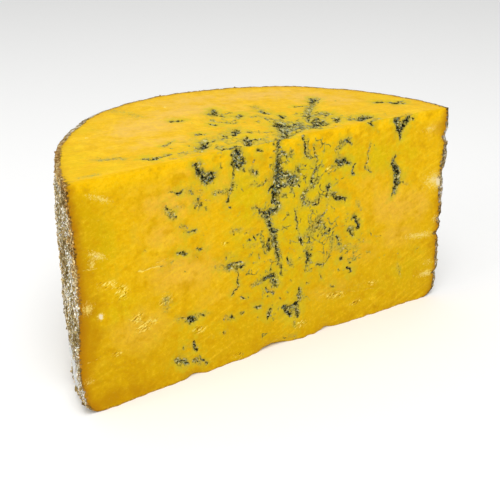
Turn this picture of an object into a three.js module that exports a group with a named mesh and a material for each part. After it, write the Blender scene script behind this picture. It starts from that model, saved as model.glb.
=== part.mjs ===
// A quarter of a tall blue cheese, made as one solid. The ripened drum was halved across its height, and
// the lower half was then split down its axis. So the piece has two cut faces of paste, the top and the
// front, and the rind still covers its round side and its base.
// Units are millimetres. +Z is up, +X runs along the front cut face, and +Y points away from that face.
// The origin is on the base, in the middle of the piece.

import * as THREE from "three";
import { ImprovedNoise } from "three/addons/math/ImprovedNoise.js";
import { mergeGeometries, mergeVertices } from "three/addons/utils/BufferGeometryUtils.js";

// Driving dimensions
const HEIGHT = 105; // base to top cut
const TOP_RADIUS = 100; // the drum at the top cut
const BASE_RADIUS = 102.5; // the drum spreads a little towards its base
const BELLY = 0.8; // how far the side swells at mid height
const RIM_REACH = 9; // the rounded base edge, measured inwards
const RIM_RISE = 7.5; // the same edge, measured upwards
const AXIS_Y = -51.5; // the drum's axis, a half depth in front of the origin

// The wire bends as it is pulled through, so the front face is hollow
const BOW_AT_TOP = 2.6;
const BOW_AT_BASE = 2.0;

// Relief
const CUT_GRAIN = { wave: 9, height: 0.22 }; // both cut faces
const RIND_LUMPS = [
  { wave: 34, height: 0.9 },
  { wave: 12, height: 0.8 },
];
const RIND_DEPTH = 0.16; // share of the radius over which rind relief fades into the paste

// Mesh fineness
const COLUMNS = 56;
const LAYERS_DEEP = 17;
const ROWS = 28;
const RIM_ROWS = 4; // rows spent on the rounded base edge

const TAU = 2 * Math.PI;
const radians = THREE.MathUtils.degToRad;

// Crevices where the blue veins have opened the paste. Each is a straight stretch: the middle of it, its
// length, its lean from the upright in degrees, its half width and its depth.
// On the front face the middle is given across from the drum's axis and up from the base.
const FRONT_CREVICES = [
  // the long vein beside the axis, from the top down
  { at: [0, 99], length: 10, lean: 5, half: 3.0, depth: 1.6 },
  { at: [-2, 86], length: 15, lean: 8, half: 3.8, depth: 2.2 },
  { at: [-5, 73], length: 12, lean: 20, half: 3.6, depth: 2.0 },
  { at: [-5, 60], length: 12, lean: -12, half: 3.0, depth: 1.8 },
  { at: [-1, 47], length: 10, lean: -4, half: 2.2, depth: 1.3 },
  { at: [-4, 36], length: 6, lean: 62, half: 3.6, depth: 1.8 },
  // beside it
  { at: [6, 84], length: 4, lean: 60, half: 3.0, depth: 1.2 },
  { at: [-24, 100], length: 8, lean: 0, half: 3.2, depth: 1.6 },
  { at: [-39, 95], length: 9, lean: -50, half: 3.2, depth: 1.7 },
  { at: [-26, 50], length: 7, lean: 82, half: 2.6, depth: 1.3 },
  { at: [17, 42], length: 6, lean: 0, half: 2.6, depth: 1.2 },
  { at: [7, 17], length: 7, lean: 55, half: 3.4, depth: 1.6 },
  { at: [34, 88], length: 5, lean: 85, half: 2.6, depth: 1.5 },
  { at: [33, 70], length: 6, lean: -68, half: 2.4, depth: 1.3 },
  { at: [45, 56], length: 6, lean: -18, half: 2.4, depth: 1.4 },
  // far from the axis
  { at: [70, 99], length: 7, lean: 0, half: 3.4, depth: 1.8 },
  { at: [69, 74], length: 16, lean: -8, half: 2.8, depth: 1.9 },
  { at: [-49, 29], length: 6, lean: 80, half: 2.8, depth: 1.5 },
  { at: [-54, 9], length: 5, lean: -50, half: 2.8, depth: 1.4 },
];

// On the top face the middle is given across from the axis and back from the front face.
const TOP_CREVICES = [
  { at: [9, 13], length: 12, lean: 28, half: 3.6, depth: 1.6 },
  { at: [16, 22], length: 8, lean: 60, half: 3.2, depth: 1.2 },
  { at: [33, 15], length: 10, lean: 55, half: 3.4, depth: 1.5 },
  { at: [45, 40], length: 24, lean: 42, half: 2.4, depth: 1.2 },
  { at: [53, 11], length: 7, lean: 75, half: 3.0, depth: 1.3 },
  { at: [-14, 9], length: 8, lean: 20, half: 2.8, depth: 1.3 },
  { at: [-33, 15], length: 6, lean: 35, half: 3.2, depth: 1.4 },
  { at: [-3, 57], length: 8, lean: 25, half: 2.6, depth: 1.2 },
];

// Splits in the rind, each a level groove: where it is round the drum in degrees from the right end of
// the front face, how far round it runs, its height, its half height and its depth.
const RIND_SPLITS = [
  { turn: 0, spread: 16, up: 91, half: 1.9, depth: 3.4 },
  { turn: 2, spread: 22, up: 70, half: 4.6, depth: 3.0 },
  { turn: 0, spread: 12, up: 46, half: 1.6, depth: 1.8 },
  { turn: 3, spread: 26, up: 37, half: 2.0, depth: 2.4 },
  { turn: 0, spread: 14, up: 14, half: 1.8, depth: 1.2 },
  { turn: 62, spread: 15, up: 58, half: 2.4, depth: 1.8 },
  { turn: 104, spread: 18, up: 33, half: 2.6, depth: 2.0 },
  { turn: 131, spread: 12, up: 79, half: 2.2, depth: 1.6 },
  { turn: 178, spread: 14, up: 64, half: 2.6, depth: 1.2 },
];

// Crumbs lost from the sharp lower edge of the front face: place across, half width, bite inwards.
const LOWER_EDGE_NICKS = [
  { across: -48, half: 3.5, bite: 2.0 },
  { across: -3, half: 7.5, bite: 4.2 },
  { across: 30, half: 4.0, bite: 2.6 },
];
const NICK_RISE = 2.2; // how far up the face a nick fades out

const noise = new ImprovedNoise();

function bump(distance, half) {
  return Math.exp(-((distance / half) ** 2));
}

// How deep the crevices are at a point of a cut face.
function creviceDepth(list, across, along) {
  let deepest = 0;
  for (const { at, length, lean, half, depth } of list) {
    const direction = new THREE.Vector2(Math.sin(radians(lean)), Math.cos(radians(lean)));
    const offset = new THREE.Vector2(across - at[0], along - at[1]);
    const run = THREE.MathUtils.clamp(offset.dot(direction), -length / 2, length / 2);
    const away = offset.addScaledVector(direction, -run).length();
    deepest = Math.max(deepest, depth * bump(away, half));
  }
  return deepest;
}

function cutGrain(x, y, z) {
  const { wave, height } = CUT_GRAIN;
  return height * noise.noise(x / wave, y / wave, z / wave);
}

// How far the rind stands out of the plain drum.
function rindRelief(turn, z) {
  const x = TOP_RADIUS * Math.cos(turn);
  const y = TOP_RADIUS * Math.sin(turn);
  let relief = 0;
  for (const { wave, height } of RIND_LUMPS) {
    relief += height * noise.noise(x / wave, y / wave, z / wave + wave);
  }
  for (const split of RIND_SPLITS) {
    const round = THREE.MathUtils.radToDeg(turn) - split.turn;
    relief -= split.depth * bump(round, split.spread) * bump(z - split.up, split.half);
  }
  return relief;
}

// The plain drum's radius at a height, with the rounded edge at the base.
function drumRadius(z) {
  const share = z / HEIGHT;
  const side = THREE.MathUtils.lerp(BASE_RADIUS, TOP_RADIUS, share) + BELLY * Math.sin(Math.PI * share);
  if (z >= RIM_RISE) return side;
  const under = 1 - z / RIM_RISE;
  return side - RIM_REACH * (1 - Math.sqrt(1 - under * under));
}

// Rows crowd together on the rounded base edge, and are even above it.
function rowHeight(share) {
  const row = share * ROWS;
  if (row <= RIM_ROWS) return RIM_RISE * (1 - Math.cos((row / RIM_ROWS) * (TAU / 4)));
  return THREE.MathUtils.mapLinear(row, RIM_ROWS, ROWS, RIM_RISE, HEIGHT);
}

// Takes a point of the unit block, s from -1 to 1 along the front, t from 0 at the front to 1 at the back
// and w from 0 at the base to 1 at the top, to its place on the cheese.
function place(s, t, w) {
  const z = rowHeight(w);
  const u = s * Math.sqrt(1 - (t * t) / 2);
  const v = t * Math.sqrt(1 - (s * s) / 2);
  const reach = Math.hypot(u, v); // 1 on the rind
  const turn = Math.atan2(v, u);
  const nearRind = THREE.MathUtils.smoothstep(reach, 1 - RIND_DEPTH, 1);
  const aboveBase = THREE.MathUtils.smoothstep(z, 0, RIM_RISE);
  const radius = reach * drumRadius(z) + nearRind * aboveBase * rindRelief(turn, z);
  const point = new THREE.Vector3(radius * Math.cos(turn), radius * Math.sin(turn), z);

  const side = point.x / drumRadius(z);
  const bow = THREE.MathUtils.lerp(BOW_AT_BASE, BOW_AT_TOP, w) * (1 - side * side);
  point.y += bow * (1 - t);
  if (t === 0) {
    point.y += creviceDepth(FRONT_CREVICES, point.x, point.z) * aboveBase;
    point.y += cutGrain(point.x, 0, point.z);
    for (const { across, half, bite } of LOWER_EDGE_NICKS) {
      point.y += bite * bump(point.x - across, half) * Math.exp(-z / NICK_RISE);
    }
  }
  if (w === 1) {
    point.z += cutGrain(point.x, point.y, HEIGHT) - creviceDepth(TOP_CREVICES, point.x, point.y);
  }
  point.y += AXIS_Y;
  return point;
}

function onlyPositions(geometry) {
  geometry.deleteAttribute("normal");
  geometry.deleteAttribute("uv");
  return geometry;
}

// Everything but the base: five sides of a finely divided block, each point moved to its place.
function sidesAndTop() {
  const block = new THREE.BoxGeometry(2, 1, 1, COLUMNS, LAYERS_DEEP, ROWS).translate(0, 0.5, 0.5);
  const basePanel = block.groups[5]; // the block's -Z panel comes last
  block.setIndex(Array.from(block.index.array.slice(0, basePanel.start)));
  block.clearGroups();
  const positions = block.attributes.position;
  for (let i = 0; i < positions.count; i++) {
    // whole steps of the grid, so that panels meet in the very same points
    const s = Math.round(((positions.getX(i) + 1) / 2) * COLUMNS) * (2 / COLUMNS) - 1;
    const t = Math.round(positions.getY(i) * LAYERS_DEEP) / LAYERS_DEEP;
    const w = Math.round(positions.getZ(i) * ROWS) / ROWS;
    const { x, y, z } = place(s, t, w);
    positions.setXYZ(i, x, y, z);
  }
  return onlyPositions(block);
}

// The base: one flat face inside the block's lowest row of points.
function flatBase() {
  const outline = [];
  const add = (s, t) => {
    const { x, y } = place(s, t, 0);
    outline.push(new THREE.Vector2(x, y));
  };
  for (let i = 0; i < COLUMNS; i++) add(i * (2 / COLUMNS) - 1, 0);
  for (let j = 0; j < LAYERS_DEEP; j++) add(1, j / LAYERS_DEEP);
  for (let i = COLUMNS; i > 0; i--) add(i * (2 / COLUMNS) - 1, 1);
  for (let j = LAYERS_DEEP; j > 0; j--) add(-1, j / LAYERS_DEEP);
  const base = new THREE.ShapeGeometry(new THREE.Shape(outline));
  base.setIndex(Array.from(base.index.array).reverse()); // it faces down
  return onlyPositions(base);
}

function cheeseGeometry() {
  const closed = mergeVertices(mergeGeometries([sidesAndTop(), flatBase()]), 1e-3);
  const index = closed.index.array;
  const kept = [];
  for (let i = 0; i < index.length; i += 3) {
    const [a, b, c] = index.subarray(i, i + 3);
    if (a !== b && b !== c && a !== c) kept.push(a, b, c);
  }
  closed.setIndex(kept);
  closed.computeVertexNormals();
  return closed;
}

const paste = new THREE.MeshStandardMaterial({ color: 0xe9b51a, roughness: 0.6, metalness: 0 });
const cheese = new THREE.Mesh(cheeseGeometry(), paste);
cheese.name = "cheese_wedge";

const part = new THREE.Group();
part.add(cheese);

export default part;
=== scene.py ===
# Half a disc of a tall blue cheese, cut across on top and standing on its base. Paste shows on its two cut
# faces, the front and the top, and the rind covers its round side. Lengths are in millimetres until a mesh
# is finished.
import math

import bpy
import numpy as np
from mathutils import Matrix, Vector, noise
from mathutils.bvhtree import BVHTree


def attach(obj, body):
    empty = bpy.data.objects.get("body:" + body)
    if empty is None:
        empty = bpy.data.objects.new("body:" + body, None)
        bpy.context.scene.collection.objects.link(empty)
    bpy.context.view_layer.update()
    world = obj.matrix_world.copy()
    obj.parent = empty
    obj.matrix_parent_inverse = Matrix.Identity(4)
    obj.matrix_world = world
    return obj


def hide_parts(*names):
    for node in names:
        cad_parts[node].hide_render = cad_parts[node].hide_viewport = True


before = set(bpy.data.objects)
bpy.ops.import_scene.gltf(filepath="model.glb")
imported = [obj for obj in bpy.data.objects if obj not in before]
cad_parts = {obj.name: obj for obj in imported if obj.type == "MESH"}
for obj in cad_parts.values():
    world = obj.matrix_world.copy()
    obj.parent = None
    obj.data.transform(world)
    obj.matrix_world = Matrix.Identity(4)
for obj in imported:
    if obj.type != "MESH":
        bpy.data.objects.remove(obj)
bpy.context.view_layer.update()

MM = 0.001

# ---- The drum that the piece was cut from. Its axis is at x 0, y 0, and its base at z 0 ----
HEIGHT = 105.0
TOP_RADIUS = 100.0
BASE_RADIUS = 102.5
BELLY = 0.8                        # the side swells a little at mid height
RIM_REACH, RIM_RISE = 9.0, 7.5     # the rounded base edge, inwards and upwards
FULLER_FOOT = 0.4                  # the share by which the base edge is less rounded at the left
FOOT_TURN, FOOT_SPREAD = 158, 17   # where that is, in degrees round, and how far it goes
BOW_AT_TOP, BOW_AT_BASE = 2.6, 2.0   # the wire left the front face hollow
AXIS_Y = -51.5                     # the axis, in front of the middle of the piece

# ---- How finely the body is divided ----
COLUMNS, LAYERS, ROWS = 160, 48, 84
COLUMN_CUTS, LAYER_CUTS, ROW_CUTS = (16, 10), (48,), (7, 12)
RIM_ROWS = 8
# Faces near a vein or a scratch are halved, and then again nearer to it: reach beyond it, and how near
HALVINGS = [(1.0, 0.3), (0.4, 0.42)]
FRONT_SLACK, TOUCHING = 0.05, 0.01   # how near a point lies that is on the front, and on the top or the base
RIND_FROM = 0.9985                 # share of the drum's radius from which a point is rind
FACES_DOWN, FLAT_DOWN = -0.9, -0.999   # the up part of a face's normal, for the base's grid and its flat face

# ---- The drawing that the marks are typed on is a little out of square with the piece ----
FRONT_SHIFT, FRONT_LEAN = (-0.2, -0.93), (0.0085, 0.008)   # across and up, then up by across and up by up
# Across and back, then across by across, across by back, and back by across
TOP_SHIFT, TOP_LEAN = (-0.3, 0.15), (0.014, -0.012, 0.024)

# ---- Crevices: middle, length, lean from the upright in degrees, half width, depth ----
FRONT_CREVICES = [
    ((0, 99), 10, 5, 3.0, 1.6), ((-2, 86), 15, 8, 3.8, 2.2), ((-5, 73), 12, 20, 3.6, 2.0),
    ((-5, 60), 12, -12, 3.0, 1.8), ((-1, 47), 10, -4, 2.2, 1.3), ((-4, 36), 6, 62, 3.6, 1.8),
    ((6, 84), 4, 60, 3.0, 1.2), ((-24, 100), 8, 0, 3.2, 1.6), ((-39, 95), 9, -50, 3.2, 1.7),
    ((-26, 50), 7, 82, 2.6, 1.3), ((17, 42), 6, 0, 2.6, 1.2), ((7, 17), 7, 55, 3.4, 1.6),
    ((34, 88), 5, 85, 2.6, 1.5), ((33, 70), 6, -68, 2.4, 1.3), ((45, 56), 6, -18, 2.4, 1.4),
    ((70, 99), 7, 0, 3.4, 1.8), ((69, 74), 16, -8, 2.8, 1.9), ((-49, 29), 6, 80, 2.8, 1.5),
    ((-54, 9), 5, -50, 2.8, 1.4),
]
TOP_VEINS_WIDER = 1.35             # the blade smeared them a little
TOP_CREVICES = [
    ((9, 13), 12, 28, 3.6, 1.6), ((16, 22), 8, 60, 3.2, 1.2), ((33, 15), 10, 55, 3.4, 1.5),
    ((45, 40), 24, 42, 2.4, 1.2), ((53, 11), 7, 75, 3.0, 1.3), ((-14, 9), 8, 20, 2.8, 1.3),
    ((-33, 15), 6, 35, 3.2, 1.4), ((-3, 57), 8, 25, 2.6, 1.2),
]
CREVICE_SHARE = 0.5                # of that depth, left as a broad hollow round the veins' own pits

# Splits in the rind: degrees round from the right end of the front, spread, height, half height, depth
RIND_SPLITS = [
    (0, 12, 91, 1.5, 1.8), (2, 16, 71, 3.4, 1.8), (0, 12, 46, 1.6, 1.6), (3, 18, 37, 1.8, 2.0),
    (0, 14, 14, 1.8, 1.2), (62, 15, 58, 2.4, 1.8), (104, 18, 33, 2.6, 2.0), (131, 12, 79, 2.2, 1.6),
    (178, 14, 64, 2.6, 0.5), (150, 22, 30, 26, 1.0), (122, 14, 92, 12, -0.8), (160, 18, 64, 34, 1.0),
    (158, 13, 15, 13, 3.2), (141, 12, 105, 10, 2.4), (156, 7, 104, 9, 1.1), (181, 7, 101, 13, -2.3),
    (182, 9, 24, 17, -1.6), (0, 10, 16, 10, -1.2),
]
RIND_LUMPS = [(34.0, 0.9), (12.0, 0.8), (5.0, 0.45)]   # wave length, height
CALM_TURN, CALM_SHARE = 12, 0.35   # degrees from the right end over which the lumps are lower, and what is left
RAGGED_HEIGHT, RAGGED_WAVE, RAGGED_TURN = 0.9, 2.6, 5   # the torn edge there
RAGGED_PLACE = 5.5                 # where in the noise it is taken from
RIND_DEPTH = 0.16                  # share of the radius over which rind relief fades into the paste
NO_DISTANCE = 1e-6                 # stands for nothing at the axis, where a direction has no meaning
EDGE_ROUGH = 0.4                   # share of the rind's texture at the edges of the cut faces
# The rind's texture: name, kind, size, height and settings
RIND_TEXTURES = [
    ("rind_grain", "CLOUDS", 1.9, 1.3, [("noise_depth", 2)]),
    ("rind_pits", "VORONOI", 2.6, -0.9, [("noise_intensity", 1.2)]),
]
EDGE_NICKS = [(-48, 3.5, 2.0), (-3, 7.5, 4.2), (30, 4.0, 2.6)]   # across, half width, bite
NICK_RISE = 2.2
FOOT_RAGGED, FOOT_WAVE, FOOT_PLACE = 0.7, 3.4, 2.3   # small unevenness along the base of the front
FOOT_CALM = 3                      # height over which the marks of the front come in


def strokes(rows):
    """Each row is a half width, a strength, and the points of a line, two numbers each."""
    return [(half, strength, list(zip(line[0::2], line[1::2]))) for half, strength, *line in rows]


# ---- Veins on the front: half width, strength of the blue, and the line, across from the axis and up ----
FRONT_VEINS = strokes([
    # the long vein beside the axis, from the top down
    (1.0, 0.9, -1.4, 105, -2.4, 102.6, -0.8, 101), (1.5, 0.8, -1.6, 100, -1.8, 97, -1.6, 94.5),
    (2.1, 1.0, -1.5, 94, -1.2, 90.5), (2.5, 0.8, -1.6, 88.5, -1.6, 84.5),
    (1.2, 0.9, 0.5, 89.8, 2.4, 88.4, 4.0, 86.6), (1.1, 1.0, -7.0, 81.4, -5.8, 83.4, -2.4, 82, 1.8, 82.6),
    (1.8, 1.0, -3.8, 79.4, -3.6, 75.6), (1.6, 0.8, -1.7, 79, -1.6, 74, -2.6, 71.6),
    (1.8, 0.85, -3.4, 71.4, -6, 70.8, -8.8, 71.2), (0.8, 0.8, -13.8, 75.2, -12, 73.4, -10, 71.6),
    (2.0, 0.8, -7.4, 69.6, -6.4, 66.6), (1.4, 1.0, -5.9, 66, -5.5, 64.4),
    (1.4, 0.95, -5.6, 62.6, -4, 61.4, -2.2, 60.8), (1.0, 0.8, -3.2, 59.6, -2.6, 55.2, -2.1, 51.8),
    (1.6, 0.8, -6.4, 57.4, -6.9, 54.6, -6.2, 53), (1.5, 0.75, -2.1, 51, -1, 47.6),
    (0.8, 0.9, -0.9, 47, -1.4, 43.4), (0.55, 0.9, 0.6, 42.6, 0.8, 37.6),
    (1.5, 1.0, -8.6, 38, -5.6, 39, -3.6, 38), (2.0, 0.75, -4.2, 37, -2.4, 35.4, -2.6, 33.4),
    (0.8, 0.8, -8.6, 32.6, -7.6, 31, -5.4, 30.2, -4.2, 28.4),
    # left of it, near the top
    (1.4, 0.9, -44.8, 101.2, -42.4, 97.4), (1.8, 0.85, -42.2, 97, -39.6, 93.8),
    (2.2, 0.85, -40.4, 93, -37, 92.6), (1.0, 1.0, -36.4, 92.8, -35.6, 94.2, -36.4, 96.4),
    (1.3, 0.35, -42.6, 101.4, -40, 100.4), (1.6, 1.0, -23.8, 105, -22.8, 101.4),
    (1.6, 0.85, -22.8, 101, -25.6, 98, -23.6, 96, -20.8, 97.6, -21.1, 100), (0.8, 0.9, -25, 96, -25.8, 92.6),
    (0.9, 0.9, -26.4, 102, -26, 101.4), (0.8, 0.9, -20.4, 95, -20.2, 93.8), (1.2, 0.8, -26, 88.2, -27.6, 86.2),
    (0.9, 0.85, -28.6, 84.4, -29.4, 81.4), (0.7, 0.8, -28.6, 78.4, -27.8, 78.2),
    (1.2, 0.6, -35.6, 86, -32.6, 86.6), (1.2, 0.62, -45, 83, -43.5, 84.6, -42.6, 83.2),
    (0.6, 0.95, -43.6, 85.8, -43.4, 84.8), (0.6, 0.9, -46, 82.2, -45.6, 81.8),
    (0.6, 0.6, -39.8, 84, -38.6, 83.8), (0.9, 0.9, -53.6, 89.8, -51.8, 91),
    (0.45, 0.55, -58, 92.2, -53.8, 90.3), (0.7, 0.8, -47.8, 90.4, -47.4, 89),
    (0.6, 0.7, -42.4, 89.6, -41.8, 89.2), (1.3, 0.62, -59.4, 85, -57.8, 83, -56.6, 81.4),
    (0.5, 0.9, -59.6, 86.2, -58.6, 84), (0.5, 0.8, -55.6, 80.2, -54.8, 80),
    (0.7, 0.4, -54.2, 84.2, -50.6, 83.6), (1.1, 0.4, -53, 75.6, -49.8, 74),
    (0.8, 0.85, -49.6, 71.6, -46.2, 71.4), (1.1, 0.9, -54.4, 63.2, -51.4, 62.2),
    (0.8, 0.75, -45.2, 62.6, -42.6, 62.2), (0.8, 0.4, -46.2, 59.4, -45, 59),
    (0.5, 0.6, -26.3, 65, -26, 66.9, -23, 66.8), (0.6, 0.5, -20, 64, -18.6, 63.6),
    (0.7, 0.7, -17.8, 60.8, -16.8, 60.2), (0.7, 0.75, -15.2, 61.8, -14.2, 59.8), (0.7, 0.6, -21, 59, -20.8, 58),
    (0.7, 0.45, -13.2, 57.6, -13.5, 56), (0.7, 0.55, -17.6, 56.4, -16.6, 56),
    (0.6, 0.6, -30.2, 54.8, -30.2, 53.8), (0.8, 0.75, -16.4, 92.4, -15, 90.7, -13.6, 92.2),
    (0.5, 0.7, -15.2, 98, -15.8, 96.8), (1.0, 0.9, -13.4, 102, -11.2, 101.4),
    (0.65, 0.8, -13.2, 85, -10.8, 85.4, -8.6, 87.2), (0.6, 0.6, -5, 100.1, -4.2, 99.9),
    (0.5, 0.6, -6.6, 97.6, -6, 97.2),
    # left of it, lower down
    (0.7, 0.9, -29.6, 50.6, -22, 50.3), (1.5, 0.6, -27.4, 49.2, -23, 47.8), (0.8, 0.9, -22.6, 47.2, -20.6, 48),
    (0.5, 0.85, -24, 46, -24.6, 41.4, -23.4, 38.8, -24.4, 37.2, -26.2, 37, -27.6, 35),
    (1.8, 0.35, -35.4, 51, -34, 50), (0.8, 0.65, -12.8, 51.6, -12, 49.6), (0.6, 0.4, -15.8, 48.2, -13.6, 48.4),
    (0.5, 0.6, -16.2, 36, -11.2, 36.6), (0.8, 0.8, -22.5, 32.2, -20.5, 31.2),
    (1.2, 0.35, -62.4, 42.8, -60.4, 43.8), (1.8, 0.28, -61.8, 40.6, -61.6, 38),
    (1.8, 1.0, -49.8, 29.2, -48.4, 28), (0.8, 0.5, -57, 32.2, -52.6, 30.4, -46.4, 30.4),
    (0.9, 0.9, -42.8, 29.8, -42, 28.8), (1.1, 0.9, -14.2, 24.8, -11.8, 23.8),
    (1.0, 0.65, -22.8, 24, -21.4, 23.6), (0.9, 0.85, -28, 23.6, -27, 22.8), (0.9, 0.6, -31.6, 23.4, -30.2, 25),
    (1.3, 0.9, -5, 20.8, -6.4, 18.6, -7, 17.2), (0.5, 0.7, -13.4, 19, -13, 18.6),
    (0.7, 0.7, -0.2, 25.6, 0.4, 25), (0.5, 0.5, -3.4, 18, -2.6, 17.8), (0.7, 0.75, -31.8, 16.8, -31.6, 16),
    (1.0, 1.0, -48.5, 17, -48.2, 14.6, -46.8, 12), (0.7, 0.65, -53.8, 15.2, -53, 16.2),
    (2.0, 0.85, -56.6, 9.6, -53.6, 7.6), (0.9, 0.9, -53, 8.4, -51.2, 6.6), (1.6, 0.6, -47.6, 7.2, -46.6, 5.4),
    (0.9, 0.7, -45.8, 8.4, -41.8, 3),
    # right of the axis, near the top
    (1.3, 0.7, 1.6, 97.6, 3.4, 95.8), (0.8, 0.85, 11.1, 104.8, 11.6, 102.6, 12.4, 99.6, 12.8, 95.6, 15, 93),
    (0.7, 0.7, 16.8, 98.6, 18.4, 95, 19.8, 91.6, 19, 88),
    (0.9, 0.85, 19, 87.4, 17.4, 84.6, 16.8, 81.4, 18.2, 79.2), (1.1, 0.65, 8.8, 90, 10.4, 86),
    (0.6, 0.6, 11.6, 90.8, 12.6, 90.4), (2.4, 0.8, 4.8, 85, 6.2, 82.6), (0.8, 0.9, 9.2, 81.8, 9.8, 80.8),
    (0.7, 0.9, 3.4, 84.2, 3.2, 82.8), (0.7, 0.8, 5.6, 80.2, 5.8, 79.2), (0.7, 0.7, 12.4, 84.2, 13.4, 84.4),
    (1.3, 0.7, 12.8, 77.2, 11.6, 74.2, 13.4, 71.9), (0.6, 0.6, 13.4, 77.8, 15, 79),
    (0.8, 0.85, 18.2, 69.8, 21, 70, 21.9, 73.4), (0.6, 0.5, 15, 70.2, 16, 70.2),
    (1.3, 0.9, 26.7, 77.6, 27, 74.8, 26, 72.6), (0.7, 0.55, 26.4, 68.2, 27, 67.8),
    (1.2, 1.0, 30.2, 72.8, 31.4, 70.8, 34, 69.8, 37, 69), (0.7, 0.75, 7.6, 70, 8, 66, 9, 63.2, 9.3, 60),
    (0.7, 0.65, 26, 65.8, 23.8, 62.6, 21, 60.6), (0.9, 0.75, 20.6, 59.6, 24, 59.2, 25.8, 56.8),
    (0.9, 0.6, 19, 57.6, 20, 56.6), (1.2, 0.6, 30.6, 94.4, 33, 95, 36.2, 98.2),
    (0.8, 0.9, 35.4, 98.6, 37.6, 97.4, 39.6, 96.2), (1.4, 1.0, 31.8, 88.8, 33.4, 86.8, 36, 88.2, 38.4, 87.2),
    (0.7, 0.9, 42.2, 86, 40.8, 83.2, 41.4, 80.8), (0.6, 0.65, 52, 93.5, 49.4, 90, 50.6, 87.4, 48.8, 84),
    (0.6, 0.75, 48.8, 84, 49, 82, 52.6, 80.2), (0.9, 0.9, 49.4, 105, 50.6, 104.2, 52.6, 102.8),
    # right of the axis, the middle
    (1.5, 0.3, 45, 65.6, 46.2, 64.4), (0.6, 0.6, 46.6, 61.2, 47.6, 61), (0.6, 0.6, 38.6, 61.2, 39.6, 60.6),
    (1.1, 1.0, 43, 57.6, 44.6, 58, 45.6, 55.4, 46.8, 53, 46.2, 51.6), (1.1, 0.85, 11, 54.6, 12.2, 51.2),
    (0.9, 0.8, 15.2, 55, 16.6, 53, 16, 51), (0.9, 0.9, 24.6, 53, 28.8, 54.8), (0.5, 0.5, 4.4, 50.6, 5.6, 50.4),
    (0.6, 0.6, 14.6, 46.8, 15, 45.8), (1.7, 0.95, 16, 45, 17.4, 42.8, 16.2, 40.8),
    (0.7, 0.8, 15.6, 38.6, 15, 36), (0.6, 0.5, 17.4, 38.6, 17.6, 38), (0.6, 0.8, 3.8, 45.8, 4.6, 44.6, 4.4, 43),
    (0.6, 0.6, 5, 42, 7.4, 40.2), (0.6, 0.5, 11.6, 43.6, 12.4, 43.2),
    (0.9, 0.75, 33, 50.6, 34.4, 48.6, 34.8, 45.6), (0.6, 0.6, 28.8, 49.6, 29, 48),
    (0.6, 0.5, 27.9, 44.4, 27.7, 41), (0.7, 0.6, 36.2, 41.2, 38.6, 43.6),
    (1.3, 0.85, 40.8, 52.2, 42, 50.6, 43.2, 48.4), (0.6, 0.6, 45.4, 40.6, 47, 40.4),
    (0.5, 0.6, 50, 45, 50.6, 43.6), (1.6, 0.25, 40, 44.2, 44, 42.6), (0.5, 0.7, 54.4, 47.4, 54.6, 46),
    (0.45, 0.5, 57.6, 44.9, 61.4, 44), (1.0, 0.9, 21.8, 38, 23.6, 36.6, 25.6, 37.4),
    (0.5, 0.55, 26.6, 37.2, 28, 39), (1.0, 0.85, 35.8, 37.6, 37, 36.8),
    # right of the axis, low down
    (0.7, 0.65, 24, 31.2, 24.6, 29.8), (0.8, 0.55, 15.8, 29.4, 16.8, 29), (1.8, 0.25, 16.4, 31.4, 18, 30.4),
    (1.0, 0.95, 40.8, 31, 42.4, 30, 43, 28.4), (1.2, 0.3, 31.6, 32.6, 32.4, 31.4),
    (0.8, 0.75, 31, 23.6, 32.2, 22.8), (0.6, 0.4, 5, 33.4, 6, 33), (0.6, 0.6, 4.2, 27.6, 4.8, 27),
    (1.3, 0.85, 11.4, 27.6, 10.8, 25, 11.8, 21.8), (1.5, 0.95, 2.4, 20, 3.4, 18.2, 5.2, 15.6, 6.8, 13.8),
    (1.4, 0.95, 4, 18.6, 8, 18.6, 11.6, 20), (1.2, 0.9, 10.6, 18.4, 10.4, 15, 10.9, 12.4),
    (2.2, 0.6, 7.6, 17, 8, 15.4), (0.8, 0.6, 8.6, 9.6, 8.8, 8.2), (0.6, 0.6, 8.2, 1.8, 8.9, 1.6),
    (0.6, 0.5, 2.8, 2.5, 3.5, 2.2),
    # far right
    (1.5, 1.0, 65.6, 104.8, 67.4, 101.6, 68.6, 98.6), (1.2, 0.9, 68.6, 100, 70.0, 96.6, 70.1, 94.2),
    (1.5, 1.0, 74.4, 103.8, 71.8, 101, 70.4, 97.6), (1.0, 0.6, 69, 103, 71, 101),
    (0.6, 0.9, 76.6, 103.8, 77, 103), (0.8, 0.95, 68, 85.4, 67.4, 82.6),
    (1.5, 1.0, 66.8, 81, 69, 78.2, 71.4, 75.6), (1.7, 0.85, 69.6, 77, 70.4, 73.6, 69.8, 70),
    (1.3, 0.8, 69.4, 69.6, 68.4, 66.4, 67, 64.8), (0.6, 0.65, 73.6, 70.6, 74.4, 70.2),
    (0.6, 0.6, 76.4, 69.8, 77, 69.4), (0.5, 0.8, 73.8, 31, 74.2, 31), (0.5, 0.8, 87.8, 31, 88.2, 31),
    (0.9, 0.4, 74.4, 25, 75.6, 22, 77, 17.4),
    # far left
    (0.6, 0.5, -70.2, 68.6, -69.8, 68.2), (0.45, 0.5, -62.6, 59, -61, 59.2),
])

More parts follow.
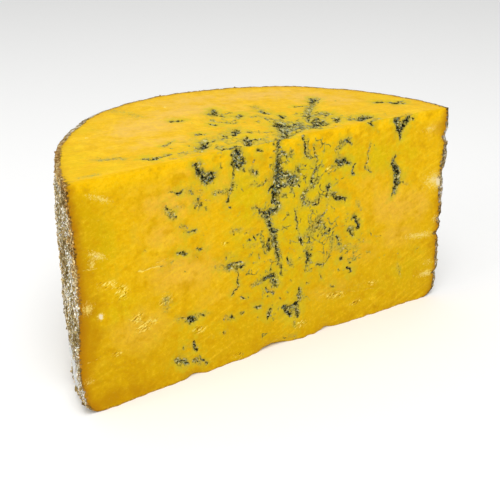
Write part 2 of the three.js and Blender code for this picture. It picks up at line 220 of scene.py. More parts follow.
# ---- Veins on the top: across from the axis, and back from the front face ----
TOP_VEINS = strokes([
    (1.8, 0.9, 3, 6, 6, 10, 9.5, 14.5), (1.9, 0.95, 10, 22.6, 12.4, 25, 14, 22, 18.6, 20.4),
    (1.6, 0.7, 14, 21.4, 17, 15.4, 19, 11), (1.1, 0.6, 8.4, 8, 13, 9.4, 16, 10.6),
    (2.0, 0.95, 24, 12.6, 27, 15, 31, 15.6, 34, 18.6), (1.2, 0.8, 27, 15, 31, 20),
    (1.1, 0.8, 31, 12.4, 34.6, 14.6), (1.2, 0.85, 38, 12.6, 42, 17.4), (1.3, 0.9, 40.6, 29, 44, 25.2),
    (1.0, 0.9, 26, 19.6, 31, 26), (0.8, 0.5, 33, 29, 40, 36), (1.1, 0.7, 42, 39.6, 46, 42.4),
    (1.2, 1.0, 49.6, 48.6, 51.6, 49.8, 55, 55), (0.9, 0.95, 52.6, 49.6, 55, 51), (1.5, 0.5, 38, 33, 48, 44),
    (0.8, 0.7, 52, 46, 58, 52.4), (1.0, 0.85, 45.4, 12.4, 48, 13.2),
    (1.7, 0.95, 51, 11.6, 54.5, 13.4, 58, 12.4), (0.8, 0.8, 50, 2, 53, 5), (1.0, 0.7, 57, 8, 58.6, 6.4),
    (1.1, 0.85, 76.5, 30.5, 81, 29), (1.2, 0.9, 83.5, 24.5, 88, 22), (1.3, 0.85, 17.8, 42, 19, 47),
    (1.0, 0.4, 19.5, 52, 21, 57), (1.1, 0.8, 2, 42.4, 6.6, 46), (0.8, 0.7, 9, 40.6, 9.8, 39.8),
    (1.0, 0.8, 19.4, 31, 21.4, 34), (0.9, 0.35, 6, 32, 6.6, 29.8), (1.6, 0.95, -5.5, 57, -2.5, 58, -0.4, 62.5),
    (1.1, 0.9, -4, 54, -2, 49), (1.2, 0.9, 3.2, 45, 6.4, 47.4), (1.2, 0.5, 19.2, 57.6, 19.2, 53),
    (1.3, 0.95, 17.6, 47, 18.6, 42), (0.8, 0.8, 7.6, 40.2, 10.2, 40.8), (0.7, 0.85, 12.3, 35.3, 11.9, 31.4),
    (1.2, 0.95, 21.5, 36, 20.6, 32.2), (0.9, 0.9, -15.3, 40.4, -13.8, 37.4),
    (0.6, 0.7, -12.7, 44.6, -8.8, 40.2, -6.9, 37), (0.7, 0.6, 5.7, 33.2, 5.5, 29.4),
    (0.8, 0.6, -7.7, 20.2, -6.7, 17.7), (1.0, 0.7, -22.9, 17, -17.8, 22.8),
    (0.8, 0.7, -20.4, 17.2, -18.4, 19.6), (0.7, 0.85, -30, 28.5, -25.8, 27.8),
    (0.9, 0.9, -30.5, 4.7, -25.4, 4.8, -21.7, 5.9), (0.7, 0.75, -42.3, 8.8, -38, 7.7),
    (1.1, 1.0, -62.6, 9, -60.6, 8.4), (0.7, 0.9, -59.8, 8.4, -56.2, 9.4, -52, 10.6),
    (0.7, 0.7, -49, 9.7, -46.5, 9.8), (0.8, 0.7, -49.8, 21.6, -46.6, 23, -43.1, 26),
    (1.2, 0.9, 82.8, 27.2, 86.3, 25, 90.3, 24.9), (1.0, 0.85, 78.4, 32.2, 80.1, 28.8),
    (0.8, 0.9, 36.5, 45, 43, 43), (1.0, 0.95, 31, 29, 34, 27), (1.2, 0.8, 21, 12, 25, 8),
    (0.9, 0.9, 29, 19.4, 34, 22.4), (1.0, 0.7, -3, 53, -2.2, 51.4), (1.4, 0.95, -27.6, 54.6, -23.9, 53.6),
    (1.1, 0.7, -7.2, 39.2, -6.6, 37.4), (1.0, 0.7, -14.8, 38.8, -14.2, 37.6), (0.9, 0.6, -11, 43.4, -9.4, 41.4),
    (1.0, 0.85, -28.6, 29.4, -26.2, 27.6), (1.9, 0.9, -37, 12, -33, 14, -31, 18),
    (0.8, 0.6, -34.2, 20.2, -33.4, 19), (1.4, 0.85, -14.6, 20.6, -11.5, 22.4, -9.6, 26.4),
    (0.8, 0.7, -7, 20, -5.8, 19.2), (1.5, 0.9, -17, 5, -14, 8.6, -11.8, 14.6), (1.0, 0.45, -23, 17, -22, 14.6),
    (0.6, 0.6, -20.4, 21.8, -19.4, 21.2), (1.1, 0.95, -64.6, 11.2, -62.8, 10.4),
    (0.6, 0.7, -62, 9.4, -53, 10.6), (0.6, 0.55, -49.6, 20, -45.4, 24), (0.55, 0.4, -44.6, 24.6, -41, 27),
    (2.2, 0.3, -79.4, 21.6, -77.6, 20), (1.8, 0.28, -73.6, 17.6, -71.8, 15.6),
    (0.8, 0.55, -54.6, 4.8, -52.8, 4.2), (0.9, 0.6, -41, 6.6, -38.6, 6.2),
    (0.8, 0.85, -31, 5.5, -28, 4, -24.5, 3), (0.7, 0.7, -1, 53, 2, 52),
    (0.9, 0.8, -33, 20, -30.5, 18.5, -28, 17), (0.7, 0.7, -41, 9.5, -37, 8.5), (0.6, 0.7, -38, 13, -36, 13.5),
    (0.6, 0.6, -20, 20, -19, 15), (1.0, 0.9, -13, 24, -9, 25), (1.2, 0.95, -13, 13, -9, 9),
    (0.7, 0.7, -6, 38.5, -3, 37), (0.7, 0.8, 22, 36, 23, 33), (0.7, 0.7, 12, 35, 14, 32),
    (1.3, 0.95, 8, 17, 9, 13), (1.0, 0.8, 14, 14, 18, 14), (1.4, 0.95, 27, 19, 33, 17),
    (0.8, 0.7, 29.6, 23, 30.6, 22.8), (0.9, 0.8, 40, 24, 45, 27), (1.1, 0.95, 41, 19, 43, 18),
    (0.8, 0.8, 33, 33, 36, 31), (0.8, 0.8, 39, 33, 41, 32), (0.9, 0.7, -23, 5.4, -21.6, 4.4),
    (0.9, 0.7, -9, 1.6, -6, 4.4), (0.7, 0.6, -3, 1.4, 0.6, 3.8), (2.0, 0.3, 67, 1.4, 75, 5),
    (0.8, 0.4, 64.6, 9.8, 67.8, 12), (0.7, 0.6, 2, 14.8, 3, 14.2), (0.6, 0.45, 29, 5.4, 36, 7.6),
    (0.6, 0.4, -47, 2.6, -42, 3.4),
])

# ---- The olive ground that the veins run in, on the front and on the top: half width, strength and line ----
FRONT_WASHES = strokes([
    # along the long vein
    (1.8, 0.55, -2, 107, -2.5, 100, -1.5, 96), (2.2, 0.75, -1.5, 96, -2.5, 91, -2, 87),
    (1.6, 0.6, -0.5, 98.5, 2.5, 97.5), (2.6, 1.0, -2, 88, -1.8, 83), (2.6, 0.85, -1, 88, 4, 86.5, 8, 84),
    (2.4, 0.8, 2, 84, 7, 83.5), (1.8, 0.5, 7, 88, 9, 90.5), (2.0, 0.75, -3.5, 82, -3.5, 78, -2, 75, -1.8, 72),
    (2.2, 0.85, -1.8, 72.5, -6, 70.5, -9.5, 70.5), (1.4, 0.45, -9.5, 70.5, -13, 74.5, -16, 76),
    (2.0, 0.7, -7.5, 69.5, -6, 65.5), (1.9, 0.65, -5.8, 65, -4.8, 61, -4, 58, -3.5, 54),
    (1.6, 0.5, -7, 58, -7, 53), (1.8, 0.6, -2.5, 53, -1.5, 50, -1.2, 46.5),
    (1.3, 0.4, -1, 45.5, 0.2, 41, 0.8, 37.5), (2.0, 0.55, -8.5, 38.5, -5, 38.8),
    (2.4, 0.75, -4, 37.5, -2.5, 34.8), (1.6, 0.4, -16.5, 37, -10, 38),
    (1.5, 0.35, -8.5, 32.5, -6, 30.5, -4, 29.5), (1.6, 0.4, -3.5, 33.5, -5.5, 31.5),
    # left of it
    (2.2, 0.45, -16.5, 93.5, -14.5, 91), (1.6, 0.3, -17.5, 87, -12, 86, -9, 87.5, -5, 87),
    (2.4, 0.5, -43.5, 101, -43, 97), (2.4, 0.75, -42.5, 97, -39.5, 93.5), (2.6, 0.9, -39.5, 93.5, -37, 94.5),
    (3.0, 0.75, -24, 103, -23, 98), (2.2, 0.6, -24, 98, -23, 96), (1.4, 0.35, -25.8, 94, -26.3, 90),
    (1.8, 0.4, -27, 89.5, -28, 86), (1.6, 0.35, -28, 85.5, -29.5, 81), (1.3, 0.2, -29, 78.5, -27.8, 78),
    (1.8, 0.4, -36, 87, -32, 86.5, -29.5, 86), (2.0, 0.45, -45, 84.5, -43, 82.5),
    (2.0, 0.3, -44, 84.5, -42.5, 88), (2.2, 0.3, -55, 91, -51, 90), (2.4, 0.28, -50, 91.5, -46, 89),
    (2.4, 0.22, -46, 90, -42, 88.5), (2.2, 0.45, -59.5, 84.5, -57.5, 82.5, -56, 80.5),
    (1.6, 0.3, -55, 84.5, -51, 83.5), (2.0, 0.35, -52.5, 75, -50, 73.5), (1.8, 0.35, -49.5, 72, -46, 71.5),
    (1.8, 0.18, -45, 71.5, -42, 70.5), (1.6, 0.3, -54, 63.5, -51.5, 62.2), (1.6, 0.25, -46, 62.5, -42, 62),
    (1.4, 0.2, -46, 59.5, -45, 58.5), (1.8, 0.35, -27, 67, -22, 66.5), (4.0, 0.15, -64, 59, -56, 58),
    (2.5, 0.2, -36, 53, -26, 54.5), (1.8, 0.25, -18.5, 58, -13.5, 57), (1.6, 0.22, -22, 67, -18, 65),
    (2.2, 0.6, -30, 49.5, -25, 48.5, -21.5, 48.5), (2.2, 0.3, -36, 51.5, -31, 51),
    (1.4, 0.35, -24, 46, -24.5, 41, -24, 38, -27, 36), (2.0, 0.4, -62, 43, -60.5, 41),
    (2.2, 0.35, -61.5, 40, -61.5, 37), (2.0, 0.3, -57, 32, -53, 30.5), (2.2, 0.6, -50.5, 29.5, -47.5, 28.5),
    (1.6, 0.4, -46, 30, -41, 29.5), (1.8, 0.35, -31, 24.5, -27.5, 23), (1.4, 0.25, -23, 24, -21.5, 23.5),
    (1.6, 0.35, -49, 16, -47.5, 12.5), (1.4, 0.2, -54, 15.5, -51, 16), (2.4, 0.6, -56, 9.5, -52.5, 7),
    (2.0, 0.5, -48, 7, -45.5, 5.5), (1.6, 0.3, -44.5, 6, -41.5, 3.5), (1.5, 0.15, -40, 16.5, -30.5, 18),
    (1.8, 0.5, -6.5, 20.5, -6.3, 17.5), (1.4, 0.3, -14, 24.5, -11.5, 24), (1.2, 0.2, -13.5, 19, -12.8, 18.5),
    # right of it
    (1.6, 0.35, 11, 105, 12, 100, 13.5, 95, 16, 93, 19, 90, 19.5, 87), (1.5, 0.3, 17.5, 99, 18.5, 94),
    (1.8, 0.5, 17.5, 85, 17, 81, 16, 79, 13, 77, 11.5, 74), (2.2, 0.6, 11.5, 74.5, 12.5, 72.5),
    (2.0, 0.5, 14, 71.5, 18, 71, 21, 72.5), (1.3, 0.3, 9, 71, 8.3, 67, 8.8, 62, 10, 58, 10.5, 54),
    (2.4, 0.5, 22.5, 63, 20, 60.5, 16.5, 57), (3.0, 0.5, 17, 57.5, 22, 58), (1.8, 0.4, 10, 55.5, 18, 54),
    (1.8, 0.45, 31, 95.5, 33, 98), (1.5, 0.5, 34, 98.5, 38, 99.5), (1.5, 0.4, 31.5, 94, 32.5, 91),
    (1.9, 0.65, 32, 89.5, 36, 88.5), (1.4, 0.35, 36.5, 88.5, 40, 86), (1.6, 0.35, 41, 84.5, 40, 82),
    (1.3, 0.2, 36, 81.5, 41, 81.5), (1.6, 0.3, 51.5, 94.5, 49.5, 90, 50, 86), (1.6, 0.35, 48.8, 84, 50.5, 81.8),
    (2.2, 0.55, 26.5, 77, 27, 74), (1.8, 0.4, 28.5, 73.5, 33, 71, 36.5, 69), (1.5, 0.3, 26.5, 71, 26.5, 67),
    (1.6, 0.35, 45, 66, 47, 62.5), (1.8, 0.55, 43.5, 58.5, 46, 56), (1.5, 0.4, 46, 55, 46.5, 52),
    (2.2, 0.5, 22, 62, 24.5, 58), (1.8, 0.4, 25, 57, 28, 54.5), (1.8, 0.6, 41, 53, 43, 51.5),
    (1.5, 0.5, 4.5, 44.5, 6, 41.5), (1.8, 0.6, 15.5, 45, 17, 42), (2.0, 0.35, 15, 48.5, 18, 50),
    (1.5, 0.3, 15.5, 39, 15.3, 36.5), (1.4, 0.3, 12.5, 43.5, 11.5, 43), (1.5, 0.35, 11.5, 52, 12.5, 50.5),
    (1.4, 0.35, 15.5, 54, 16.5, 51), (1.6, 0.5, 12, 27, 12, 23.5), (1.8, 0.45, 13, 22.5, 11.5, 20.5),
    (2.2, 0.55, 3.5, 19, 6, 17.5, 9.5, 18), (1.8, 0.45, 10.5, 19.5, 10.2, 14), (1.5, 0.3, 9, 12, 8.5, 8),
    (2.0, 0.25, 5, 2.5, 10, 1.5), (2.0, 0.4, 28.5, 50, 31, 46, 30, 43.5), (2.0, 0.4, 33.5, 49.5, 35, 46),
    (2.6, 0.35, 30, 45, 36, 43), (2.2, 0.3, 37, 44, 42, 42.5, 47, 42), (1.6, 0.3, 48, 44, 50.5, 44.5),
    (1.6, 0.3, 36.5, 38.5, 38, 36.5), (1.8, 0.45, 22, 38, 25, 37), (1.5, 0.3, 26, 39, 28, 42),
    (1.6, 0.3, 41.5, 31, 43.5, 29.5), (1.3, 0.2, 32, 32.5, 32.5, 31.5), (1.3, 0.2, 31, 24, 32.5, 23),
    (1.5, 0.25, 24, 32, 24.5, 29.5), (5.0, 0.12, 22, 18, 50, 20),
    # far right
    (2.2, 0.7, 67, 105, 69, 101), (2.2, 0.65, 74, 104, 71.5, 101), (1.8, 0.5, 70, 100, 70, 96),
    (1.9, 0.7, 66, 84, 68, 80, 70.5, 76), (2.2, 0.85, 70, 75, 70.5, 70.5), (2.0, 0.75, 70, 70, 69.5, 66.5),
    (1.6, 0.3, 73, 71, 76, 70), (1.6, 0.3, 74.5, 24.5, 76, 21, 77, 17.5),
])
TOP_WASHES = strokes([
    (2.6, 0.7, -2, 1, 3, 6, 7, 12, 11, 18), (3.2, 0.75, 8, 13, 12, 20, 14, 24),
    (3.0, 0.7, 12, 14, 18, 16, 20, 20), (2.2, 0.5, 13, 25, 15, 30), (2.6, 0.7, 24, 13, 28, 15, 33, 18),
    (2.2, 0.5, 26, 19, 31, 25, 35, 30), (2.6, 0.55, 34, 26, 42, 28), (1.8, 0.6, 33, 30, 46, 43, 51, 49),
    (1.6, 0.35, 50, 49, 58, 55), (1.8, 0.4, 38, 14, 43, 19), (2.2, 0.35, 37, 21, 42, 25),
    (2.6, 0.65, 49, 10, 56, 13), (2.0, 0.35, 44, 11, 47, 13), (1.6, 0.4, 53, 4, 57, 8),
    (1.8, 0.45, 18, 42, 19, 48), (1.8, 0.3, 18, 52, 21, 57), (2.0, 0.35, 11, 40, 15, 33),
    (2.0, 0.4, 1, 42, 6, 46), (1.5, 0.3, 8, 41, 10, 40), (1.4, 0.35, 20, 31, 22, 35), (1.5, 0.3, 6, 31, 7, 33),
    (1.8, 0.3, 11, 27, 14, 34), (2.2, 0.45, -7, 53, -3, 57, -1, 61), (1.6, 0.35, -5, 52, -2, 50),
    (3.0, 0.2, -10, 50, 2, 44), (2.0, 0.3, -12, 43, -9, 40), (1.5, 0.25, -16, 38, -14, 40),
    (2.4, 0.2, -14, 36, -12, 31), (1.5, 0.35, -28, 29, -26, 27.5), (2.2, 0.5, -37, 12, -33, 16, -30, 20),
    (2.6, 0.35, -32, 21, -24, 16), (2.2, 0.35, -24, 16, -21, 20), (2.0, 0.45, -15, 21, -11, 25),
    (1.8, 0.5, -17, 6, -13, 12), (2.4, 0.3, -12, 7, -3, 3), (2.0, 0.35, -42, 7, -37, 8),
    (1.6, 0.3, -30, 4, -24, 3), (2.0, 0.3, -24, 5, -20, 3), (1.3, 0.25, -8, 19, -6, 21),
    (1.5, 0.25, 2, 15, 4, 14), (1.6, 0.3, -65, 11, -61, 9, -54, 10), (1.2, 0.2, -50, 20, -44, 25),
    (2.0, 0.25, 65, 8, 70, 5), (1.8, 0.35, 70, 2, 76, 5), (2.0, 0.3, 81, 20, 87, 25),
    (1.8, 0.25, 78, 27, 81, 31), (4.0, 0.28, -43, 84, -38, 70), (2.6, 0.35, 2, 8, 12, 12, 22, 14),
    (2.4, 0.35, 18, 26, 28, 22, 36, 20), (2.0, 0.3, -20, 24, -8, 28), (1.6, 0.3, -40, 22, -30, 26),
    (2.0, 0.45, -82.4, 18.6, -76, 16.6), (1.8, 0.42, -73.6, 18, -71.6, 14.6), (1.2, 0.4, -95, 2.4, -88.6, 2.2),
    (2.0, 0.25, -30, 8, -18, 10), (2.2, 0.4, -12, 2, 0, 2), (2.0, 0.35, -50, 6, -44, 8),
])
VEIN_DEPTH = 0.4                   # of its half width
VEIN_DEPTH_MOST = 0.8
PIT_DEPTH = 0.6
PIT_WAVES, FINE_PITS = (1.5, 0.85), 0.6   # the pits in a vein, coarse and fine, and the share of the fine
PIT_BLUE, PIT_NOISE = (0.22, 0.75), (0.05, 0.5)   # how blue it is, and how high the noise, where pits come in
CUT_GRAIN = [(9.0, 0.22), (3.1, 0.07)]   # the cut faces' own unevenness: wave length, height
STAIN_REACH = 3.2                  # how far a vein's olive stain spreads into the paste
STAIN_LEAST, STAIN_WIDTH = 0.35, 2.2   # share of it by a hairline, and the half width that adds a whole
WANDER, WANDER_WAVE, WANDER_PLACES = 0.9, 2.2, (3.7, 9.1)   # how much the veins' outlines wander

# ---- Scratches on the front: half width, strength, and the line, across and up ----
SCRATCHES = strokes([
    (0.4, 1.0, -73.7, 59.4, -68, 59.8, -62.5, 59.3), (0.3, 0.6, -66, 61.2, -59, 62.2),
    (0.3, 0.6, -99, 67.2, -92, 66.2), (0.3, 0.5, -99, 24, -91, 25.2), (0.3, 0.6, -63.4, 46.8, -60, 46.2),
    (0.3, 0.6, -80, 38.6, -72, 34.6, -66, 33.6), (0.3, 0.5, -78, 34.4, -70, 31.4), (0.3, 0.4, -92, 28, -80, 33),
    (0.3, 0.5, -45, 24, -41, 22.6), (0.35, 0.5, 24, 20.4, 40, 18), (0.35, 0.5, 44, 17, 60, 14.6),
    (0.3, 0.4, 56, 34, 72, 36), (0.35, 0.4, 60, 46, 78, 43), (0.3, 0.4, 52, 10, 64, 9),
    (0.3, 0.4, -34, 74, -24, 71), (0.3, 0.4, -90, 87, -80, 84),
])
SCRATCH_DEPTH = 0.35

# ---- Torn flaky patches on the front: across, up, half length, half height, lean in degrees ----
TEARS = [
    (-61.6, 42.6, 3.0, 2.4, 15), (-88.2, 57.8, 4.0, 1.6, -6), (-82, 52.4, 3.0, 3.2, 30),
    (-71.6, 33.2, 5.0, 2.2, 14), (-75.6, 38.2, 3.0, 2.0, 20), (-45.6, 22.6, 3.2, 1.6, -8),
    (-30.4, 61.6, 2.4, 0.8, 0), (-86.0, 24.0, 2.2, 1.2, 0), (26.6, 86.6, 2.2, 1.6, 0),
    (58.0, 18.4, 3.6, 1.2, -6), (-24.0, 1.6, 2.4, 1.6, 0), (34.0, 17.6, 6.0, 1.8, -8), (12.0, 7.6, 4.0, 1.8, 0),
    (47.0, 9.6, 4.0, 1.2, 0),
]
TEAR_DEPTH, TEAR_WAVE = 0.55, 1.4

# ---- Pale dried smears on the front: across, up, half length, half height, lean in degrees, strength ----
SMEARS = [
    (-88, 95.6, 5.8, 1.7, -28, 0.7), (-92, 71.8, 4.8, 2.0, -30, 0.85), (-94.4, 69, 2.0, 3.4, 0, 0.7),
    (-98.2, 49.4, 3.0, 3.4, 0, 0.8), (-99, 15, 2.6, 2.2, 0, 0.6), (-61.5, 43.2, 2.4, 1.2, 20, 0.6),
    (-13.8, 37.2, 3.4, 0.8, 4, 0.7), (27.5, 86, 1.4, 1.4, 0, 0.5), (86, 97, 3.4, 1.6, -15, 0.35),
    (49, 18.6, 3.0, 0.9, 0, 0.3), (95.0, 68.6, 8.5, 5.5, 0, 0.82), (98.4, 67, 4.5, 5.5, 0, 1.0),
    (88.3, 96.4, 4.2, 1.8, 0, 0.74), (100.4, 93, 1.6, 10, 0, 0.6), (100.6, 60, 1.6, 8, 0, 0.6),
    (99, 90.5, 2.0, 2.2, 0, 0.8), (89, 38.6, 13, 2.2, -6, 0.8), (95.6, 14.4, 7.0, 2.4, -6, 0.85),
    (98.8, 46.1, 2.4, 2.6, 0, 0.8), (96, 21, 5.0, 3.0, 0, 0.5), (-72, 33.5, 5.0, 0.5, 0, 0.35),
    (-68, 60.2, 7.0, 0.35, 0, 0.35), (-88.2, 58.2, 2.4, 0.6, 8, 0.5), (-82.4, 52, 2.0, 1.6, 30, 0.4),
    (36, 19, 6.0, 0.4, -4, 0.35), (-76, 81, 3.2, 2.4, 0, 0.25), (-92.2, 44, 1.3, 1.5, 0, 1.6),
]

TOP_SMEARS = [
    (-73.4, 50, 1.2, 1.8, 0, 1.0), (-18.9, 78.4, 1.2, 2.0, 0, 0.9), (-0.3, 43.1, 1.4, 2.0, 0, 0.9),
    (-67, 75, 3.0, 1.6, 30, 0.9),
]

# Where the paste is a little paler in long soft streaks: across, up, half length, half height, lean, strength
PALE_STREAKS = [
    (-62, 68.5, 12, 1.5, 47, 0.8), (-74, 62, 9, 1.2, 30, 0.4), (-84, 88, 8, 1.0, 8, 0.4),
    (-70, 94, 12, 1.2, 4, 0.3), (84, 66, 12, 1.6, 10, 0.4), (70, 62, 14, 1.0, 16, 0.5),
    (60, 50, 12, 1.0, 10, 0.4), (44, 10, 14, 1.4, -4, 0.4), (-40, 40, 10, 1.2, 30, 0.3),
    (-80, 30, 9, 1.4, 30, 0.5), (-66, 26, 9, 1.2, 25, 0.5), (22, 16, 10, 1.2, -2, 0.4),
]

TOP_STREAKS = [
    (-60, 63, 0.5, 14, -4, 0.8), (-58, 57, 18, 0.7, 58, 0.8), (-84, 2, 9, 1.2, 2, 0.8),
    (-50, 40, 14, 1.6, 10, 0.5),
]

# Where the crumbly crust spreads over the front's edge: across, up, half length, half height, lean, strength
CRUST_PATCHES = [
    (99.6, 98, 1.0, 8, 0, 0.5), (98.5, 90.5, 1.8, 2.4, 0, 0.7), (98.2, 79, 2.6, 8, -4, 0.85),
    (96.5, 70, 4, 3, 0, 0.8), (99.4, 61, 2.8, 8, 0, 0.7), (100.2, 52, 1.4, 5, 0, 0.55),
    (99.6, 45, 2.4, 2, 0, 0.7), (98, 37.4, 3, 1.6, 0, 0.7), (100.8, 30, 1.2, 5, 0, 0.5),
    (101, 20, 1.4, 4, 0, 0.6), (100, 13.6, 3, 1.4, 0, 0.7), (101.5, 8, 1.6, 4, 0, 0.6),
    (-100.6, 60, 1.4, 8, 0, 0.15), (-100, 6, 2.6, 5, 0, 0.3),
]
TOP_CRUST_PATCHES = [
    (-99.5, 17, 2.4, 9, -8, 0.15), (-94, 33, 2.6, 12, -20, 0.45), (-83, 56, 3, 13, -34, 0.5),
    (-68, 73, 2.6, 12, -47, 0.55),
]
CRUST_RELIEF, CRUST_WAVE = 0.9, 1.7

# ---- Patches of other tones in the paste, and of painted shade: across, up, half length, half height, lean in degrees, strength ----
PEACH_PATCHES = [
    (-60, 86, 14, 8, -15, 0.8), (-62, 74, 10, 8, 0, 0.7), (-52, 54, 18, 10, -10, 1.0),
    (-74, 31, 14, 10, -20, 1.1), (-50, 100, 10, 4, -8, 0.6), (-32, 88, 8, 6, 0, 0.4), (-34, 36, 12, 6, 0, 0.4),
    (70, 58, 16, 9, -12, 1.1), (86, 56, 7, 8, 0, 0.9), (72, 42, 12, 7, 0, 0.9), (50, 38, 12, 6, 0, 0.6),
    (30, 22, 16, 5, -6, 0.7), (92, 96, 5, 4, 0, 0.6), (54, 74, 10, 8, 0, 0.4),
]
OLIVE_PATCHES = [
    (-18, 82, 10, 14, 0, 0.9), (16, 84, 18, 14, 0, 0.9), (10, 60, 18, 14, 0, 0.9), (-20, 58, 12, 16, 0, 0.6),
    (40, 88, 14, 10, 0, 0.7), (58, 88, 10, 10, 0, 0.8), (76, 86, 8, 8, 0, 0.6), (4, 36, 18, 12, 0, 0.7),
    (-84, 45, 8, 8, 0, 0.7), (80, 20, 14, 8, 0, 0.8), (60, 14, 14, 6, 0, 0.5), (-56, 22, 12, 6, 0, 0.4),
    (-30, 20, 14, 6, 0, 0.4), (-88, 76, 7, 12, 0, 0.6),
]
# Painted shade: the same paste, only darker, towards both ends of the front
PAINTED_SHADE_PATCHES = [
    (-98, 80, 13, 30, 0, 1.0), (-98, 45, 11, 30, 0, 0.8), (-92, 14, 16, 14, 0, 0.8), (98, 50, 6, 40, 0, 0.4),
    (-78, 60, 18, 26, 0, 0.3),
]
AMBER_PATCHES = [
    (-84, 3, 26, 7, 0, 0.8), (-92, 2, 16, 5, 0, 1.1), (-84, 14, 26, 16, 0, 0.45), (-99, 36, 9, 34, 0, 0.9),
    (-97, 66, 6, 16, 0, 0.5), (-60, 1, 40, 4, 0, 0.5), (98, 56, 5, 14, 0, 0.5), (99, 8, 7, 9, 0, 0.5),
    (97.5, 97, 7, 9, 0, 0.6), (60, 2, 40, 4, 0, 0.4), (98, 32, 4, 9, 0, 0.5),
]
# The same on the top: across, back, half length, half depth, lean, strength
TOP_PEACH_PATCHES = [
    (-45, 52, 22, 14, 20, 0.9), (-14, 66, 26, 11, 10, 0.9), (34, 74, 28, 10, -10, 0.9),
    (54, 56, 12, 12, 0, 0.9), (-48, 27, 18, 8, 0, 0.6), (0, 84, 26, 8, 0, 0.7), (66, 44, 12, 10, 0, 0.7),
    (12, 56, 12, 8, 0, 0.5),
]
TOP_OLIVE_PATCHES = [
    (-92, 28, 10, 24, -22, 1.0), (-72, 66, 12, 12, 40, 0.8), (-86, 8, 14, 5, 4, 0.8), (86, 34, 14, 12, 0, 0.6),
    (20, 20, 30, 14, 20, 0.5), (-26, 14, 22, 8, 0, 0.5), (-6, 40, 20, 12, 30, 0.4), (-100, 6, 4, 8, 0, 0.9),
]

# Where fine threads of mould run through the paste: across, up, half length, half height, lean, strength
THREADED = [
    (14, 84, 26, 24, 0, 1.0), (22, 52, 26, 26, 0, 1.0), (-8, 50, 16, 34, 0, 0.8), (38, 40, 18, 14, 0, 0.8),
    (8, 16, 20, 16, 0, 0.7), (-28, 60, 14, 14, 0, 0.5), (-30, 90, 24, 12, 0, 0.6), (-48, 64, 10, 14, 0, 0.4),
]
TOP_THREADED = [
    (12, 18, 34, 16, 30, 1.0), (-28, 14, 24, 12, 0, 0.8), (-4, 44, 22, 16, 40, 0.7), (48, 14, 16, 12, 20, 0.7),
]

# ---- Colours, as red, green and blue out of 255 ----
PASTE_GOLD = (229, 179, 4)
PASTE_PEACH = (234, 182, 58)
PASTE_OLIVE = (214, 184, 6)
PASTE_AMBER = (184, 130, 0)
# darker paste towards the base, and the colour of the painted shade
PASTE_FOOT_AND_SHADE = (202, 162, 0)
# painted highlight: the bright band under the front's top edge
PASTE_EDGE_HIGHLIGHT = (248, 196, 0)
PASTE_LIGHT = (246, 204, 38)
PASTE_SHADE = (198, 146, 0)
# pale scratches, and the painted highlight on torn flakes
PALE_SCRATCH_AND_FLAKE_HIGHLIGHT = (252, 230, 110)
TOP_GOLD = (228, 179, 14)
TOP_PEACH = (229, 183, 80)
TOP_OLIVE = (222, 182, 6)
BY_RIND = (166, 104, 6)
CRUST_LINE = (116, 88, 36)
SMOKE_OLIVE = (196, 180, 36)
WASH_OLIVE = (186, 174, 82)
MOULD_TOP = (176, 178, 136)
MOULD_PALE = (226, 218, 162)
MOULD_GREEN = (160, 150, 72)
MOULD_BLUE = (118, 138, 128)
MOULD_DARK = (72, 72, 42)
FAINT_OLIVE = (166, 152, 56)
FAINT_DARK = (100, 94, 42)
PIT_OLIVE = (104, 90, 20)
# partly dark mould, partly painted shade inside the pits
BLACK_MOULD_AND_PIT_SHADE = (12, 14, 8)
# painted shadow on torn flakes
FLAKE_SHADOW_BROWN = (140, 100, 8)
SMEAR_CREAM = (240, 214, 108)
SMEAR_WHITE = (242, 230, 194)
RIND_CREAM = (236, 216, 172)
RIND_WHITE = (255, 252, 238)
RIND_BEIGE = (190, 162, 106)
RIND_GREY = (166, 148, 98)
RIND_BROWN = (118, 94, 50)
RIND_RUSSET = (156, 126, 76)
RIND_PORE = (52, 38, 16)
RIND_OCHRE = (194, 148, 78)
# pale dust, and painted light at the rind's right end
RIND_ASH_AND_LIGHT = (244, 245, 244)
OCHRE_LIGHT = (240, 214, 152)
OCHRE_DARK = (118, 84, 36)
FLOOR_WHITE = (246, 246, 245)


def linear(colour):
    """The three parts of a colour as the shaders count light."""
    parts = [part / 255 for part in colour]
    return [part / 12.92 if part <= 0.04045 else ((part + 0.055) / 1.055) ** 2.4 for part in parts] + [1]


# ---- Small helpers for meshes ----
def deselect_all():
    bpy.ops.object.select_all(action="DESELECT")


def corners(mesh):
    """The places of a mesh's points, one row each."""
    flat = np.empty(len(mesh.vertices) * 3)
    mesh.vertices.foreach_get("co", flat)
    return flat.reshape(-1, 3)


def put_corners(mesh, points):
    mesh.vertices.foreach_set("co", np.ascontiguousarray(points, dtype=float).ravel())
    mesh.update()


def smoothstep(value, low, high):
    share = np.clip((value - low) / (high - low), 0, 1)
    return share * share * (3 - 2 * share)


def bump(distance, half):
    return np.exp(-((distance / half) ** 2))


def noise_over(points, wave, shift=0.0):
    """Smooth noise from -1 to 1 at each point, with waves of that length."""
    return np.array([noise.noise(Vector(p) / wave + Vector((shift, shift, shift))) for p in points])


def face_rises(mesh):
    """The up part of each face's normal."""
    normals = np.empty(len(mesh.polygons) * 3)
    mesh.polygons.foreach_get("normal", normals)
    return normals[2::3]


def edit_selected(kind, flags, mesh, operate):
    """Selects the mesh's edges or faces by their flags, and works on them in edit mode."""
    edges_wanted = kind == "EDGE"
    bpy.context.tool_settings.mesh_select_mode = (False, edges_wanted, not edges_wanted)
    for part in (mesh.vertices, mesh.edges, mesh.polygons):
        part.foreach_set("select", np.zeros(len(part), dtype=bool))
    (mesh.edges if edges_wanted else mesh.polygons).foreach_set("select", flags)
    bpy.ops.object.mode_set(mode="EDIT")
    operate()
    bpy.ops.object.mode_set(mode="OBJECT")


